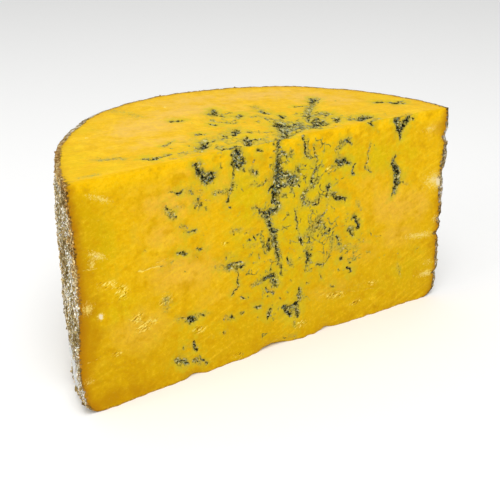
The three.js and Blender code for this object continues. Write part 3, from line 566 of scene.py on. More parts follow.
# ---- The body ----
def cut_along(block, axis, parts):
    """Cuts every edge that runs along one axis into equal parts."""
    mesh = block.data
    points = corners(mesh)
    ends = np.empty(len(mesh.edges) * 2, dtype=int)
    mesh.edges.foreach_get("vertices", ends)
    run = np.abs(points[ends[0::2]] - points[ends[1::2]])
    edit_selected("EDGE", run.argmax(1) == axis, mesh, lambda: bpy.ops.mesh.subdivide(number_cuts=parts - 1))


def add_block():
    """A block one unit each way, cut into an even grid."""
    deselect_all()
    bpy.ops.mesh.primitive_cube_add(size=1, location=(0, 0.5, 0.5))
    block = bpy.context.object
    bpy.ops.object.transform_apply(location=True)
    for axis, rounds in enumerate((COLUMN_CUTS, LAYER_CUTS, ROW_CUTS)):
        for parts in rounds:
            cut_along(block, axis, parts)
    return block


def rim_inset(z):
    """How far the rounded base edge draws in at a height."""
    under = np.clip(1 - z / RIM_RISE, 0, 1)
    return RIM_REACH * (1 - np.sqrt(1 - under**2))


def drum_radius(z):
    share = z / HEIGHT
    side = BASE_RADIUS + (TOP_RADIUS - BASE_RADIUS) * share + BELLY * np.sin(np.pi * share)
    return side - rim_inset(z)


def row_height(share):
    """Rows crowd together on the rounded base edge, and are even above it."""
    row = share * ROWS
    rim = RIM_RISE * (1 - np.cos(np.minimum(row / RIM_ROWS, 1) * np.pi / 2))
    above = RIM_RISE + (row - RIM_ROWS) / (ROWS - RIM_ROWS) * (HEIGHT - RIM_RISE)
    return np.where(row <= RIM_ROWS, rim, above)


def front_bow(x, z):
    side = x / drum_radius(z)
    return (BOW_AT_BASE + (BOW_AT_TOP - BOW_AT_BASE) * z / HEIGHT) * (1 - side**2)


def bend_to_drum(block):
    """Moves the even block's points to the plain half drum."""
    points = corners(block.data)
    s = np.round((points[:, 0] + 0.5) * COLUMNS) / COLUMNS * 2 - 1
    t = np.round(points[:, 1] * LAYERS) / LAYERS
    z = row_height(np.round(points[:, 2] * ROWS) / ROWS)
    u = s * np.sqrt(1 - t * t / 2)
    v = t * np.sqrt(1 - s * s / 2)
    radius = drum_radius(z)
    x, y = u * radius, v * radius
    y += front_bow(x, z) * (1 - t)
    put_corners(block.data, np.column_stack([x, y, z]))


def open_base(block):
    """Takes the even grid off the base and lays one flat face there."""
    mesh = block.data
    edit_selected("FACE", face_rises(mesh) < FACES_DOWN, mesh, lambda: bpy.ops.mesh.delete(type="FACE"))

    def fill():
        bpy.ops.mesh.select_mode(type="EDGE")
        bpy.ops.mesh.select_all(action="DESELECT")
        bpy.ops.mesh.select_non_manifold()
        bpy.ops.mesh.edge_face_add()
        bpy.ops.mesh.quads_convert_to_tris()

    edit_selected("EDGE", np.zeros(len(mesh.edges), dtype=bool), mesh, fill)


def away_from_line(points, line):
    """How far each flat point is from a line of straight stretches."""
    nearest = np.full(len(points), np.inf)
    for start, end in zip(line[:-1], line[1:]):
        start, along = np.array(start, float), np.subtract(end, start).astype(float)
        share = np.clip((points - start) @ along / (along @ along), 0, 1)
        nearest = np.minimum(nearest, np.hypot(*(points - start - share[:, None] * along).T))
    return nearest


def crevice_depth(points, crevices):
    deepest = np.zeros(len(points))
    for (across, along), length, lean, half, depth in crevices:
        reach = length / 2 * np.array([math.sin(math.radians(lean)), math.cos(math.radians(lean))])
        line = [np.array([across, along]) - reach, np.array([across, along]) + reach]
        deepest = np.maximum(deepest, depth * bump(away_from_line(points, line), half))
    return deepest


def vein_fields(points, veins):
    """At each flat point of a cut face: how blue it is, how stained, and how deep the veins are."""
    solid = np.column_stack([points, np.zeros(len(points))])
    drift = np.column_stack([noise_over(solid, WANDER_WAVE, place) for place in WANDER_PLACES])
    bent = points + WANDER * drift
    blue, stain, depth = np.zeros((3, len(points)))
    for half, strength, line in veins:
        away = away_from_line(bent, line)
        blue = np.maximum(blue, strength * bump(away, half))
        spread = min(1, STAIN_LEAST + half / STAIN_WIDTH)
        stain = np.maximum(stain, strength * bump(away, half + STAIN_REACH) * spread)
        deep = min(VEIN_DEPTH * half * strength, VEIN_DEPTH_MOST)
        depth = np.maximum(depth, deep * bump(away, half))
    return blue, stain, depth


def wider(veins):
    return [(half * TOP_VEINS_WIDER, strength, line) for half, strength, line in veins]


def on_front_drawing(across, up):
    """Where a point of the front lies on the drawing of its marks."""
    shift, rise = FRONT_SHIFT
    return np.column_stack([across + shift, up + rise + FRONT_LEAN[0] * across + FRONT_LEAN[1] * up])


def on_top_drawing(across, back):
    shift, depth = TOP_SHIFT
    wider_by, lean, turn = TOP_LEAN
    return np.column_stack([across + shift + wider_by * across + lean * back, back + depth + turn * across])


class Faces:
    """Which of the body's points lie on the front, on the top and on the rind, while it is a plain drum."""

    def __init__(self, points):
        x, y, z = points.T
        self.front = y < front_bow(x, z) + FRONT_SLACK
        self.top = z > HEIGHT - TOUCHING
        self.reach = np.hypot(x, np.where(self.front, 0, y)) / drum_radius(z)
        self.rind = (self.reach > RIND_FROM) | (z < TOUCHING)
        self.across_up = on_front_drawing(x, z)
        self.across_back = on_top_drawing(x, y)


def refine_marks(block, reach, nearness):
    """Halves the faces that a vein or a scratch comes near."""
    mesh = block.data
    points = corners(mesh)
    where = Faces(points)
    near = np.zeros(len(points))
    for on_face, flat, marks in (
        (where.front, where.across_up, FRONT_VEINS + SCRATCHES),
        (where.top, where.across_back, TOP_VEINS),
    ):
        wide = [(half + reach, strength, line) for half, strength, line in marks]
        near[on_face] = np.maximum(near[on_face], vein_fields(flat[on_face], wide)[0])
    on_cut = where.front | where.top
    chosen = [on_cut[list(f.vertices)].all() and near[list(f.vertices)].max() > nearness for f in mesh.polygons]
    edit_selected("FACE", np.array(chosen), mesh, lambda: bpy.ops.mesh.subdivide(number_cuts=1))


def rind_relief(points):
    """How far the rind stands out of the plain drum."""
    x, y, z = points.T
    turn = np.degrees(np.arctan2(y, x))
    angle = np.radians(turn)
    on_side = np.column_stack([TOP_RADIUS * np.cos(angle), TOP_RADIUS * np.sin(angle), z])
    relief = np.zeros(len(points))
    for wave, height in RIND_LUMPS:
        relief += height * noise_over(on_side, wave, wave)
    relief *= CALM_SHARE + (1 - CALM_SHARE) * smoothstep(turn, 0, CALM_TURN)
    up_only = np.column_stack([np.zeros((len(points), 2)), z])
    relief += RAGGED_HEIGHT * noise_over(up_only, RAGGED_WAVE, RAGGED_PLACE) * bump(turn, RAGGED_TURN)
    for at, spread, up, half, depth in RIND_SPLITS:
        relief -= depth * bump(turn - at, spread) * bump(z - up, half)
    foot = FULLER_FOOT * rim_inset(z) * bump(turn - FOOT_TURN, FOOT_SPREAD)
    return relief * smoothstep(z, 0, RIM_RISE) + foot


def patch_strength(flat, patches):
    """How strongly each flat point is covered by soft oval patches."""
    most = np.zeros(len(flat))
    for across, up, half_long, half_high, lean, *rest in patches:
        strength = rest[0] if rest else 1
        tilt = math.radians(lean)
        dx, dz = flat[:, 0] - across, flat[:, 1] - up
        along = dx * math.cos(tilt) + dz * math.sin(tilt)
        off = -dx * math.sin(tilt) + dz * math.cos(tilt)
        most = np.maximum(most, strength * np.exp(-((along / half_long) ** 2) - (off / half_high) ** 2))
    return most


def keep(mesh, name, values):
    """Stores one number for each point, for the materials to read."""
    layer = mesh.attributes.new(name, "FLOAT", "POINT")
    layer.data.foreach_set("value", np.ascontiguousarray(values, dtype=np.float32))


def stand_rind_out(points, reach, moved):
    """Moves the points in the rind and just under it outwards, away from the axis."""
    x, y, _ = points.T
    beside = reach > 1 - RIND_DEPTH
    radial = np.zeros(len(points))
    radial[beside] = rind_relief(points[beside])
    radial *= smoothstep(reach, 1 - RIND_DEPTH, 1)
    distance = np.maximum(np.hypot(x, y), NO_DISTANCE)
    moved[:, 0] += radial * x / distance
    moved[:, 1] += radial * y / distance


def sink_veins(points, where, moved):
    """Sinks the veins, pits and crevices into both cut faces, and gives how marked each point is."""
    height = points[:, 2]
    marks = {name: np.zeros(len(points)) for name in ("blue", "stain", "wash", "scratch")}
    front = (where.front, where.across_up, FRONT_VEINS, FRONT_WASHES, FRONT_CREVICES, 1, 1)
    top = (where.top, where.across_back, wider(TOP_VEINS), wider(TOP_WASHES), TOP_CREVICES, 2, -1)
    for on_face, flat, veins, washes, crevices, axis, sign in (front, top):
        here, solid = flat[on_face], points[on_face]
        blue, stain, depth = vein_fields(here, veins)
        coarse, fine = [noise_over(solid, wave) for wave in PIT_WAVES]
        pits = smoothstep(blue, *PIT_BLUE) * smoothstep(coarse + FINE_PITS * fine, *PIT_NOISE)
        grain = sum(rise * noise_over(solid, wave) for wave, rise in CUT_GRAIN)
        sunk = depth + CREVICE_SHARE * crevice_depth(here, crevices) + PIT_DEPTH * pits
        if on_face is where.front:
            sunk += TEAR_DEPTH * patch_strength(here, TEARS) * noise_over(solid, TEAR_WAVE)
            sunk += CRUST_RELIEF * patch_strength(here, CRUST_PATCHES) * noise_over(solid, CRUST_WAVE)
            marks["scratch"][on_face] = vein_fields(here, SCRATCHES)[0]
            sunk += SCRATCH_DEPTH * marks["scratch"][on_face]
        moved[on_face, axis] += sign * sunk * smoothstep(height[on_face], 0, FOOT_CALM) + grain
        for name, values in (("blue", blue), ("stain", stain), ("wash", vein_fields(here, washes)[0])):
            marks[name][on_face] = np.maximum(marks[name][on_face], values)
    return marks


def wear_base_edge(points, front, moved):
    """Nicks along the foot of the front, and a small unevenness."""
    x, _, z = points.T
    for across, half, bite in EDGE_NICKS:
        moved[front, 1] += (bite * bump(x - across, half) * np.exp(-z / NICK_RISE))[front]
    ragged = FOOT_RAGGED * noise_over(points[front], FOOT_WAVE, FOOT_PLACE)
    moved[front, 1] += ragged * np.exp(-z[front] / NICK_RISE)
    moved[z < TOUCHING, 2] = 0


def keep_patches(mesh, where):
    """Stores the soft patches of the front and of the top, each kind under its own name."""
    for name, patches, top_patches in (
        ("smear", SMEARS, TOP_SMEARS), ("streak", PALE_STREAKS, TOP_STREAKS), ("torn", TEARS, []),
        ("crusty", CRUST_PATCHES, TOP_CRUST_PATCHES), ("amber", AMBER_PATCHES, []),
        ("painted_shade", PAINTED_SHADE_PATCHES, []), ("peach", PEACH_PATCHES, TOP_PEACH_PATCHES),
        ("olive", OLIVE_PATCHES, TOP_OLIVE_PATCHES), ("threaded", THREADED, TOP_THREADED),
    ):
        on_front = np.where(where.front, patch_strength(where.across_up, patches), 0)
        keep(mesh, name, np.where(where.top, patch_strength(where.across_back, top_patches), on_front))


def carve(block):
    """Gives the plain drum its rind, veins, crevices and worn edges, and stores what the materials need."""
    mesh = block.data
    points = corners(mesh)
    where = Faces(points)
    x, y, z = points.T.copy()
    moved = points.copy()
    stand_rind_out(points, where.reach, moved)
    marks = sink_veins(points, where, moved)
    wear_base_edge(points, where.front, moved)

    for name, values in marks.items():
        keep(mesh, name, values)
    keep_patches(mesh, where)
    keep(mesh, "rind_gap", (1 - where.reach) * TOP_RADIUS)
    keep(mesh, "cut_gap", ochre_gap(x, y, z))
    keep(mesh, "dust_and_light", patch_strength(np.column_stack([np.degrees(np.arctan2(y, x)), z]), RIND_DUST_AND_LIGHT))
    keep(mesh, "on_top", where.top.astype(float))
    rough = block.vertex_groups.new(name="rind")
    standing, on_cut = where.rind & (z > TOUCHING), where.front | where.top
    rough.add(np.flatnonzero(standing & ~on_cut).tolist(), 1.0, "REPLACE")
    rough.add(np.flatnonzero(standing & on_cut).tolist(), EDGE_ROUGH, "REPLACE")
    put_corners(mesh, moved)


def roughen(block, name, kind, size, height, settings):
    """Raises a fine texture on the rind of the piece."""
    pattern = bpy.data.textures.new(name, kind)
    pattern.noise_scale = size * MM
    for key, value in settings:
        setattr(pattern, key, value)
    lift = block.modifiers.new(name, "DISPLACE")
    lift.texture = pattern
    lift.texture_coords = "LOCAL"
    lift.vertex_group = "rind"
    lift.strength = height * MM
    lift.mid_level = 0.5
    bpy.context.view_layer.objects.active = block
    bpy.ops.object.modifier_apply(modifier=lift.name)


def make_body():
    body = add_block()
    body.name = body.data.name = "cheese"
    bend_to_drum(body)
    open_base(body)
    for reach, nearness in HALVINGS:
        refine_marks(body, reach, nearness)
    carve(body)
    body.data.transform(Matrix.Translation((0, AXIS_Y * MM, 0)) @ Matrix.Scale(MM, 4))
    for texture in RIND_TEXTURES:
        roughen(body, *texture)
    bpy.ops.object.mode_set(mode="EDIT")
    bpy.ops.mesh.select_all(action="SELECT")
    bpy.ops.mesh.normals_make_consistent(inside=False)
    bpy.ops.object.mode_set(mode="OBJECT")
    bpy.ops.object.shade_smooth()
    body.data.polygons.foreach_set("use_smooth", face_rises(body.data) > FLAT_DOWN)
    return body


# ---- The crumbs of dry crust that stand out on the rind ----
CRUMB_COUNT = 15800
CRUMB_HALF, LARGE_RARE = (0.17, 0.54), 3.4   # smallest and largest, and how rare the large ones are
CRUMB_TURNS, CRUMB_HEIGHTS = (-1, 181), (0.8, HEIGHT - 0.5)
CRUMB_CUBE, CRUMB_SHAPE, CRUMB_UNEVEN = 1.5, (1.2, 0.85, 0.8), 0.34   # of one crumb before it is sized
CRUMB_STRETCH = (0.75, 1.25)       # each way, by chance
CRUMB_MIDDLE, CRUMB_SUNK = 0.45, 0.85   # shares of its half width: its middle over its foot, and how deep it sits
CRUMB_SEED = 5
FROM_OUTSIDE = 1.06                # share of the base radius from which a crumb looks for the rind
PALE_GAP = 8                       # added to the ochre's distance from the cuts where the crust is pale
PALE_BELOW, PALE_BEYOND = (74, 36), (-92, -70)   # fully from the second height down, and right of the second x
BARE_TURN, BARE_SHARE = 14, 0.75   # degrees from the right end where most crumbs have worn off, and how many
# Where fine pale dust covers the rind, and painted light at the right end: degrees round, height, half spread,
# half height, lean, strength
RIND_DUST_AND_LIGHT = [
    (169.7, 17, 7.8, 13, 0, 1.2), (164, 42, 4, 17, 0, 0.45), (150, 40, 8, 14, 0, 0.45),
    (128, 14, 14, 9, 0, 0.48), (112, 66, 8, 16, 0, 0.42), (84, 26, 12, 12, 0, 0.46), (66, 84, 9, 10, 0, 0.42),
    # The two patches at 3 degrees round are painted light: paler rind at the right end, which lies in shade.
    (40, 20, 12, 16, 0, 0.46), (26, 62, 8, 13, 0, 0.42), (3, 92, 8, 12, 0, 0.5), (3, 58, 8, 10, 0, 0.45),
]
# Larger tufts at the foot of the left end: degrees round, height, half width
TUFTS = [
    (173, 6.0, 0.9), (172.1, 7.2, 0.8), (174.2, 5.2, 0.8), (173.2, 7.4, 0.75), (172.3, 5.0, 0.7),
    (174.8, 6.6, 0.6), (178.6, 1.6, 1.0), (177.4, 1.4, 0.8), (176.4, 3.0, 0.75), (178.2, 2.8, 0.7),
    (179.2, 1.0, 0.7), (175.6, 2.0, 0.6),
]
TUFT_HALF, TUFT_SHADE = 0.56, 0.25   # above this half width a crumb has that share of its tone, so it is dark
DUST_AND_LIGHT_FROM = 0.5                  # of the strength of the dust and the painted light: no crumbs there


def add_crumb():
    """One crumb: a small uneven lump, a little longer than wide."""
    deselect_all()
    bpy.ops.mesh.primitive_cube_add(size=CRUMB_CUBE, location=(0, 0, 0))
    crumb = bpy.context.object
    bpy.ops.object.mode_set(mode="EDIT")
    bpy.ops.mesh.select_all(action="SELECT")
    bpy.ops.transform.resize(value=CRUMB_SHAPE)
    bpy.ops.transform.vertex_random(offset=CRUMB_UNEVEN, seed=CRUMB_SEED)
    bpy.ops.mesh.quads_convert_to_tris()
    bpy.ops.object.mode_set(mode="OBJECT")
    return crumb


def ochre_gap(x, y, z):
    """How far a point is from the cuts, counted as further off where the crust beside them is pale."""
    return np.minimum(y, HEIGHT - z) + PALE_GAP * (smoothstep(z, *PALE_BELOW) + smoothstep(x, *PALE_BEYOND))


def crumb_places(body):
    """Where crumbs sit on the finished rind, in metres: place, outward direction, and half width."""
    tree = BVHTree.FromPolygons(corners(body.data).tolist(), [f.vertices[:] for f in body.data.polygons])
    draw = np.random.default_rng(CRUMB_SEED)
    turns = draw.uniform(*CRUMB_TURNS, CRUMB_COUNT)
    heights = draw.uniform(*CRUMB_HEIGHTS, CRUMB_COUNT)
    low, high = CRUMB_HALF
    halves = low + (high - low) * draw.random(CRUMB_COUNT) ** LARGE_RARE
    worn = (turns < BARE_TURN) & (draw.random(CRUMB_COUNT) < BARE_SHARE)
    under_dust_and_light = patch_strength(np.column_stack([turns, heights]), RIND_DUST_AND_LIGHT) > DUST_AND_LIGHT_FROM
    wanted = list(zip(*[values[~(worn | under_dust_and_light)] for values in (turns, heights, halves)])) + TUFTS
    for turn, height, half in wanted:
        angle = math.radians(turn)
        x, y = [part * FROM_OUTSIDE * BASE_RADIUS for part in (math.cos(angle), math.sin(angle))]
        place, outward, _, _ = tree.find_nearest(Vector((x, y + AXIS_Y, height)) * MM)
        yield place, outward, half * MM


def scatter_crumbs(body):
    """Repeats one crumb over the rind, each turned and sized by chance, as one joined mesh."""
    crumb = add_crumb()
    shape, faces = corners(crumb.data), np.array([f.vertices[:] for f in crumb.data.polygons])
    draw = np.random.default_rng(CRUMB_SEED + 1)
    all_points, all_faces, shades = [], [], []
    for number, (place, outward, half) in enumerate(crumb_places(body)):
        spin = Matrix.Rotation(draw.uniform(0, 2 * math.pi), 3, "Z")
        turn = outward.to_track_quat("Z", "Y").to_matrix() @ spin
        stretch = half * draw.uniform(*CRUMB_STRETCH, 3)
        spot = np.array(place + outward * half * (CRUMB_MIDDLE - CRUMB_SUNK))
        all_points.append((shape * stretch) @ np.array(turn).T + spot)
        all_faces.append(faces + number * len(shape))
        shade = TUFT_SHADE if half > TUFT_HALF * MM else 1
        shades.append(np.full(len(shape), draw.random() * shade))
    points = np.concatenate(all_points)
    mesh = bpy.data.meshes.new("rind_crumbs")
    mesh.from_pydata(points.tolist(), [], np.concatenate(all_faces).tolist())
    keep(mesh, "shade", np.concatenate(shades))
    x, y, z = points.T / MM
    keep(mesh, "cut_gap", ochre_gap(x, y - AXIS_Y, z))
    bpy.data.objects.remove(crumb)
    crumbs = bpy.data.objects.new("rind_crumbs", mesh)
    bpy.context.scene.collection.objects.link(crumbs)
    return crumbs


# ---- Materials ----
# In the recipes lengths are in millimetres. A noise has its wave length and then its detail, a ramp the values
# where it starts and where it is full, and a raised relief its height and its strength.
GRAIN_DRIFT = 0.9                  # waves to a grain, of the noise that bends the grains out of shape
RIND_PALER, RIND_WHITER, RIND_BROWNER = (0.81, 0.95), (0.92, 1.02), (0.74, 0.5)   # of the rind's tone
PASTE_ROUGH, CRUST_ROUGH, FLOOR_ROUGH = 0.48, 0.85, 0.9
PASTE_SHINE, CRUST_SHINE, FLOOR_SHINE = 0.035, 0.03, 0.1
PASTE_IOR = 1.45
GLOW, GLOW_REACH = 0.08, (2.5, 1.2, 0.2)   # light that goes into the paste, and how far by red, green and blue


class Recipe:
    """Builds one material, a node at a time.

    A value given to a node is a number, a colour or another node's output.
    """

    def __init__(self, name):
        self.material = bpy.data.materials.new(name)
        self.material.use_nodes = True
        self.tree = self.material.node_tree
        self.shader = self.tree.nodes["Principled BSDF"]
        place = self.tree.nodes.new("ShaderNodeTexCoord").outputs["Object"]
        self.here = self.add("ShaderNodeMapping", {"Scale": (1 / MM,) * 3, "Vector": place}).outputs[0]

    def fill(self, node, inputs):
        for key, value in inputs.items():
            socket = node.inputs[key]
            if isinstance(value, bpy.types.NodeSocket):
                self.tree.links.new(value, socket)
            else:
                socket.default_value = value
        return node

    def add(self, kind, inputs, **settings):
        node = self.tree.nodes.new(kind)
        for key, value in settings.items():
            setattr(node, key, value)
        return self.fill(node, inputs)

    def stored(self, name):
        return self.add("ShaderNodeAttribute", {}, attribute_name=name).outputs["Fac"]

    def noise(self, wave, detail=2.0, where=None, rough=0.5, bend=0.0):
        inputs = {"Vector": where or self.here, "Scale": 1 / wave, "Detail": detail}
        return self.add("ShaderNodeTexNoise", {**inputs, "Roughness": rough, "Distortion": bend}).outputs["Fac"]

    def maths(self, operation, first, second=0.5):
        return self.add("ShaderNodeMath", {0: first, 1: second}, operation=operation).outputs[0]

    def grains(self, size, bend, base=None):
        """Small uneven grains: how far a point is from their edges, and three numbers for each grain."""
        base = base or self.here
        drift = {"Vector": base, "Scale": GRAIN_DRIFT / size, "Detail": 1.0}
        drift = self.add("ShaderNodeTexNoise", drift).outputs["Color"]
        push = {0: drift, 1: (size * bend * 2,) * 3}
        push = self.add("ShaderNodeVectorMath", push, operation="MULTIPLY").outputs[0]
        where = self.add("ShaderNodeVectorMath", {0: base, 1: push}, operation="ADD").outputs[0]
        cells = {"Vector": where, "Scale": 1 / size}
        tints = self.add("ShaderNodeTexVoronoi", cells).outputs["Color"]
        parts = self.add("ShaderNodeSeparateColor", {"Color": tints}).outputs
        edge = self.add("ShaderNodeTexVoronoi", cells, feature="DISTANCE_TO_EDGE").outputs["Distance"]
        return [edge, parts[0], parts[1], parts[2]]

    def ridge(self, wave, detail=2.0, where=None, rough=0.5):
        """Noise folded at its middle, which is nothing along thin winding lines."""
        return self.maths("ABSOLUTE", self.sum(self.noise(wave, detail, where, rough), -0.5))

    def ramp(self, value, low, high):
        inputs = {"Value": value, "From Min": low, "From Max": high}
        return self.add("ShaderNodeMapRange", inputs, interpolation_type="SMOOTHSTEP").outputs["Result"]

    def sum(self, first, second):
        return self.maths("ADD", first, second)

    def times(self, first, second):
        return self.maths("MULTIPLY", first, second)

    def most(self, first, second):
        return self.maths("MAXIMUM", first, second)

    def mix(self, amount, first, second):
        """From the first colour to the second."""
        first, second = [linear(c) if isinstance(c, tuple) else c for c in (first, second)]
        node = self.add("ShaderNodeMix", {0: amount, 6: first, 7: second}, data_type="RGBA")
        return node.outputs[2]

    def spread(self, value, low, high):
        """The value from 0 to 1 spread between two numbers."""
        inputs = {"Value": value, "To Min": low, "To Max": high}
        return self.add("ShaderNodeMapRange", inputs).outputs["Result"]

    def swung(self, value, pattern, swing):
        """The value pushed up and down by a pattern, by as much as the swing."""
        return self.sum(value, self.spread(pattern, -swing, swing))

    def ragged(self, value, pattern, swing, low, high):
        """How far the value is from low to high, its edge broken up by a pattern."""
        return self.ramp(self.swung(value, pattern, swing), low, high)

    def lay(self, colour, tint, amount, share):
        """The tint over a colour, at its fullest with that share."""
        return self.mix(self.times(amount, share), colour, tint)

    def turned(self, degrees, lengths):
        """The place turned, and counted in these lengths along the turned x, y and z."""
        inputs = {"Vector": self.here, "Rotation": [math.radians(d) for d in degrees], "Scale": lengths}
        return self.add("ShaderNodeMapping", inputs, vector_type="TEXTURE").outputs[0]

    def raise_by(self, height, distance, strength, before=None):
        inputs = {"Height": height, "Distance": distance * MM, "Strength": strength}
        if before:
            inputs["Normal"] = before
        return self.add("ShaderNodeBump", inputs).outputs["Normal"]


def paste_colour(look, height, on_top):
    """The golden paste: broad tones, a painted highlight in a bright band under the top edge, and streaks where
    the wire dragged.
    """
    broad, middle = look.noise(26, 3), look.noise(6.5, 4, rough=0.6)
    peach, olive = [look.ragged(look.stored(name), middle, 1.0, 0.0, 0.95) for name in ("peach", "olive")]
    colour = look.lay(PASTE_GOLD, PASTE_PEACH, peach, 0.9)
    colour = look.lay(colour, PASTE_OLIVE, olive, 0.9)
    foot = look.ragged(height, broad, 24, 84, -8)
    painted_shade = look.ragged(look.stored("painted_shade"), middle, 0.5, 0.0, 1.0)
    # Darker towards the base, and painted shade where the painted-shade patches lie.
    colour = look.mix(look.most(look.times(foot, 0.75), look.times(painted_shade, 0.8)), colour, PASTE_FOOT_AND_SHADE)
    # Painted highlight: a bright band along the front just under the top edge.
    colour = look.lay(colour, PASTE_EDGE_HIGHLIGHT, look.ragged(height, middle, 6, 97, 104), 0.85)

    drag = look.noise(1, 3, look.turned((0, 0, -12), (26, 1.6, 3)), rough=0.6)
    top = look.lay(TOP_GOLD, TOP_PEACH, peach, 0.95)
    top = look.lay(top, TOP_OLIVE, olive, 0.9)
    top = look.lay(top, PASTE_LIGHT, look.ramp(drag, 0.52, 0.66), 0.3)
    top = look.lay(top, PASTE_SHADE, look.ramp(drag, 0.46, 0.34), 0.15)
    colour = look.mix(on_top, colour, top)

    wire = look.noise(1, 3, look.turned((0, -22, 0), (18, 10, 2.2)), rough=0.6)
    curd = look.noise(1.7, 4, rough=0.75)
    streak = look.times(look.stored("streak"), look.ramp(curd, 0.3, 0.6))
    where_dragged = look.ramp(look.noise(14, 2), 0.4, 0.62)
    dragged = look.times(look.ramp(wire, 0.5, 0.66), look.spread(where_dragged, 0.08, 0.36))
    light = look.sum(look.times(look.ramp(curd, 0.5, 0.68), 0.42), dragged)
    colour = look.mix(look.most(light, look.times(streak, 0.8)), colour, PASTE_LIGHT)
    curd_shade, middle_shade = look.ramp(curd, 0.5, 0.32), look.ramp(middle, 0.5, 0.32)
    shade = look.sum(look.times(curd_shade, 0.32), look.times(middle_shade, 0.42))
    shade = look.times(shade, look.spread(on_top, 1, 0.4))
    furrowed = look.times(look.ramp(wire, 0.48, 0.34), look.spread(where_dragged, 0.05, 0.2))
    return look.mix(look.sum(shade, furrowed), colour, PASTE_SHADE)


def mould_colour(look, tint):
    """Mould by the grain: a few pale grains, most olive, some blue-grey and some nearly black."""
    mould = look.mix(look.ramp(tint, 0.24, 0.3), MOULD_PALE, MOULD_GREEN)
    mould = look.mix(look.ramp(tint, 0.58, 0.64), mould, MOULD_BLUE)
    return look.mix(look.ramp(tint, 0.9, 0.96), mould, MOULD_DARK)


def veined(look, colour):
    """Lays the veins over a colour: an olive ground, mouldy grains on it, and dark cracks and specks, partly dark
    mould and partly painted shade in pits.

    Gives the colour, and how mouldy and how dark it is.
    """
    blue, threaded = look.stored("blue"), look.stored("threaded")
    thread_edge = look.grains(6.0, bend=0.9)[0]
    broken = look.ragged(threaded, look.noise(6, 3, rough=0.6), 1.6, 0.6, 1.0)
    thread = look.times(look.ramp(thread_edge, 0.12, 0.02), broken)
    ground = look.most(look.most(look.stored("wash"), look.times(blue, 0.7)), look.times(thread, 0.5))

    hazy = look.sum(look.most(look.stored("stain"), ground), look.times(threaded, 0.25))
    smoke = look.ragged(hazy, look.noise(3.0, 3, rough=0.65), 1.0, 0.15, 0.95)
    colour = look.lay(colour, SMOKE_OLIVE, smoke, 0.6)
    washed = look.ragged(ground, look.noise(1.6, 4, rough=0.75), 0.5, 0.06, 0.75)
    colour = look.lay(colour, WASH_OLIVE, washed, 0.85)

    laid_back = look.turned((0, 0, 0), (1, 2, 1))
    _, chance, tint, spare = look.grains(0.75, bend=0.5, base=laid_back)
    mouldy = look.ragged(ground, chance, 0.35, 0.42, 0.6)
    mould = mould_colour(look, look.sum(tint, look.spread(blue, -0.08, 0.12)))
    faint = look.mix(look.ramp(tint, 0.35, 0.8), FAINT_OLIVE, FAINT_DARK)
    mould = look.mix(look.ramp(look.sum(blue, look.times(ground, 0.35)), 0.22, 0.5), faint, mould)
    mould = look.lay(mould, MOULD_TOP, look.stored("on_top"), 0.3)
    colour = look.lay(colour, mould, mouldy, look.spread(look.ramp(ground, 0.1, 0.8), 0.35, 0.9))

    field = look.most(blue, look.times(ground, 0.72))
    clump = look.sum(look.noise(1.15, 4, laid_back, rough=0.75), look.spread(field, -0.17, 0.03))
    clumps = look.ramp(clump, 0.505, 0.55)
    fibre_where = look.ragged(ground, look.noise(1.5, 3, rough=0.7), 0.9, 0.36, 0.56)
    fibre = look.ramp(look.ridge(2.4, 3, laid_back, rough=0.6), 0.034, 0.014)
    fibres = look.times(fibre, fibre_where)
    specks = look.ramp(look.sum(look.times(field, 0.5), spare), 1.22, 1.28)
    dark = look.most(look.times(fibres, 0.75), look.most(clumps, specks))
    dark = look.times(dark, look.ramp(field, 0.08, 0.3))
    # Partly dark mould, partly painted shade: the specks are bumped in as small pits, and their near black stands
    # in for the shade inside.
    pit = look.mix(look.ragged(field, tint, 0.2, 0.45, 0.85), PIT_OLIVE, BLACK_MOULD_AND_PIT_SHADE)
    return look.lay(colour, pit, dark, 0.97), washed, dark


def rind_colour(look, chance):
    """A dry crumbly crust, tan and grey, with cream dust in upright drifts, and ochre beside the cuts."""
    drifts = look.noise(1, 3, look.turned((0, 0, 0), (3.4, 3.4, 14)), rough=0.6)
    clusters = look.noise(1.8, 4, rough=0.7)
    broad = look.noise(24, 4, rough=0.6)
    tone = look.swung(look.sum(look.times(chance, 0.5), look.times(drifts, 1.1)), clusters, 0.3)
    tone = look.sum(tone, look.spread(look.ramp(broad, 0.36, 0.64), -0.1, 0.12))
    pale, white, brown = [look.ramp(tone, low, high) for low, high in (RIND_PALER, RIND_WHITER, RIND_BROWNER)]
    outer = look.mix(look.ramp(look.noise(9, 3), 0.4, 0.6), RIND_BEIGE, RIND_GREY)
    outer = look.lay(outer, RIND_RUSSET, look.ramp(look.noise(17, 4, rough=0.65), 0.54, 0.66), 0.7)
    outer = look.mix(brown, look.mix(white, look.mix(pale, outer, RIND_CREAM), RIND_WHITE), RIND_BROWN)
    by_cut = look.mix(brown, look.mix(pale, RIND_OCHRE, OCHRE_LIGHT), OCHRE_DARK)
    return look.mix(look.ragged(look.stored("cut_gap"), look.noise(7, 3), 5, 6, 2), outer, by_cut)


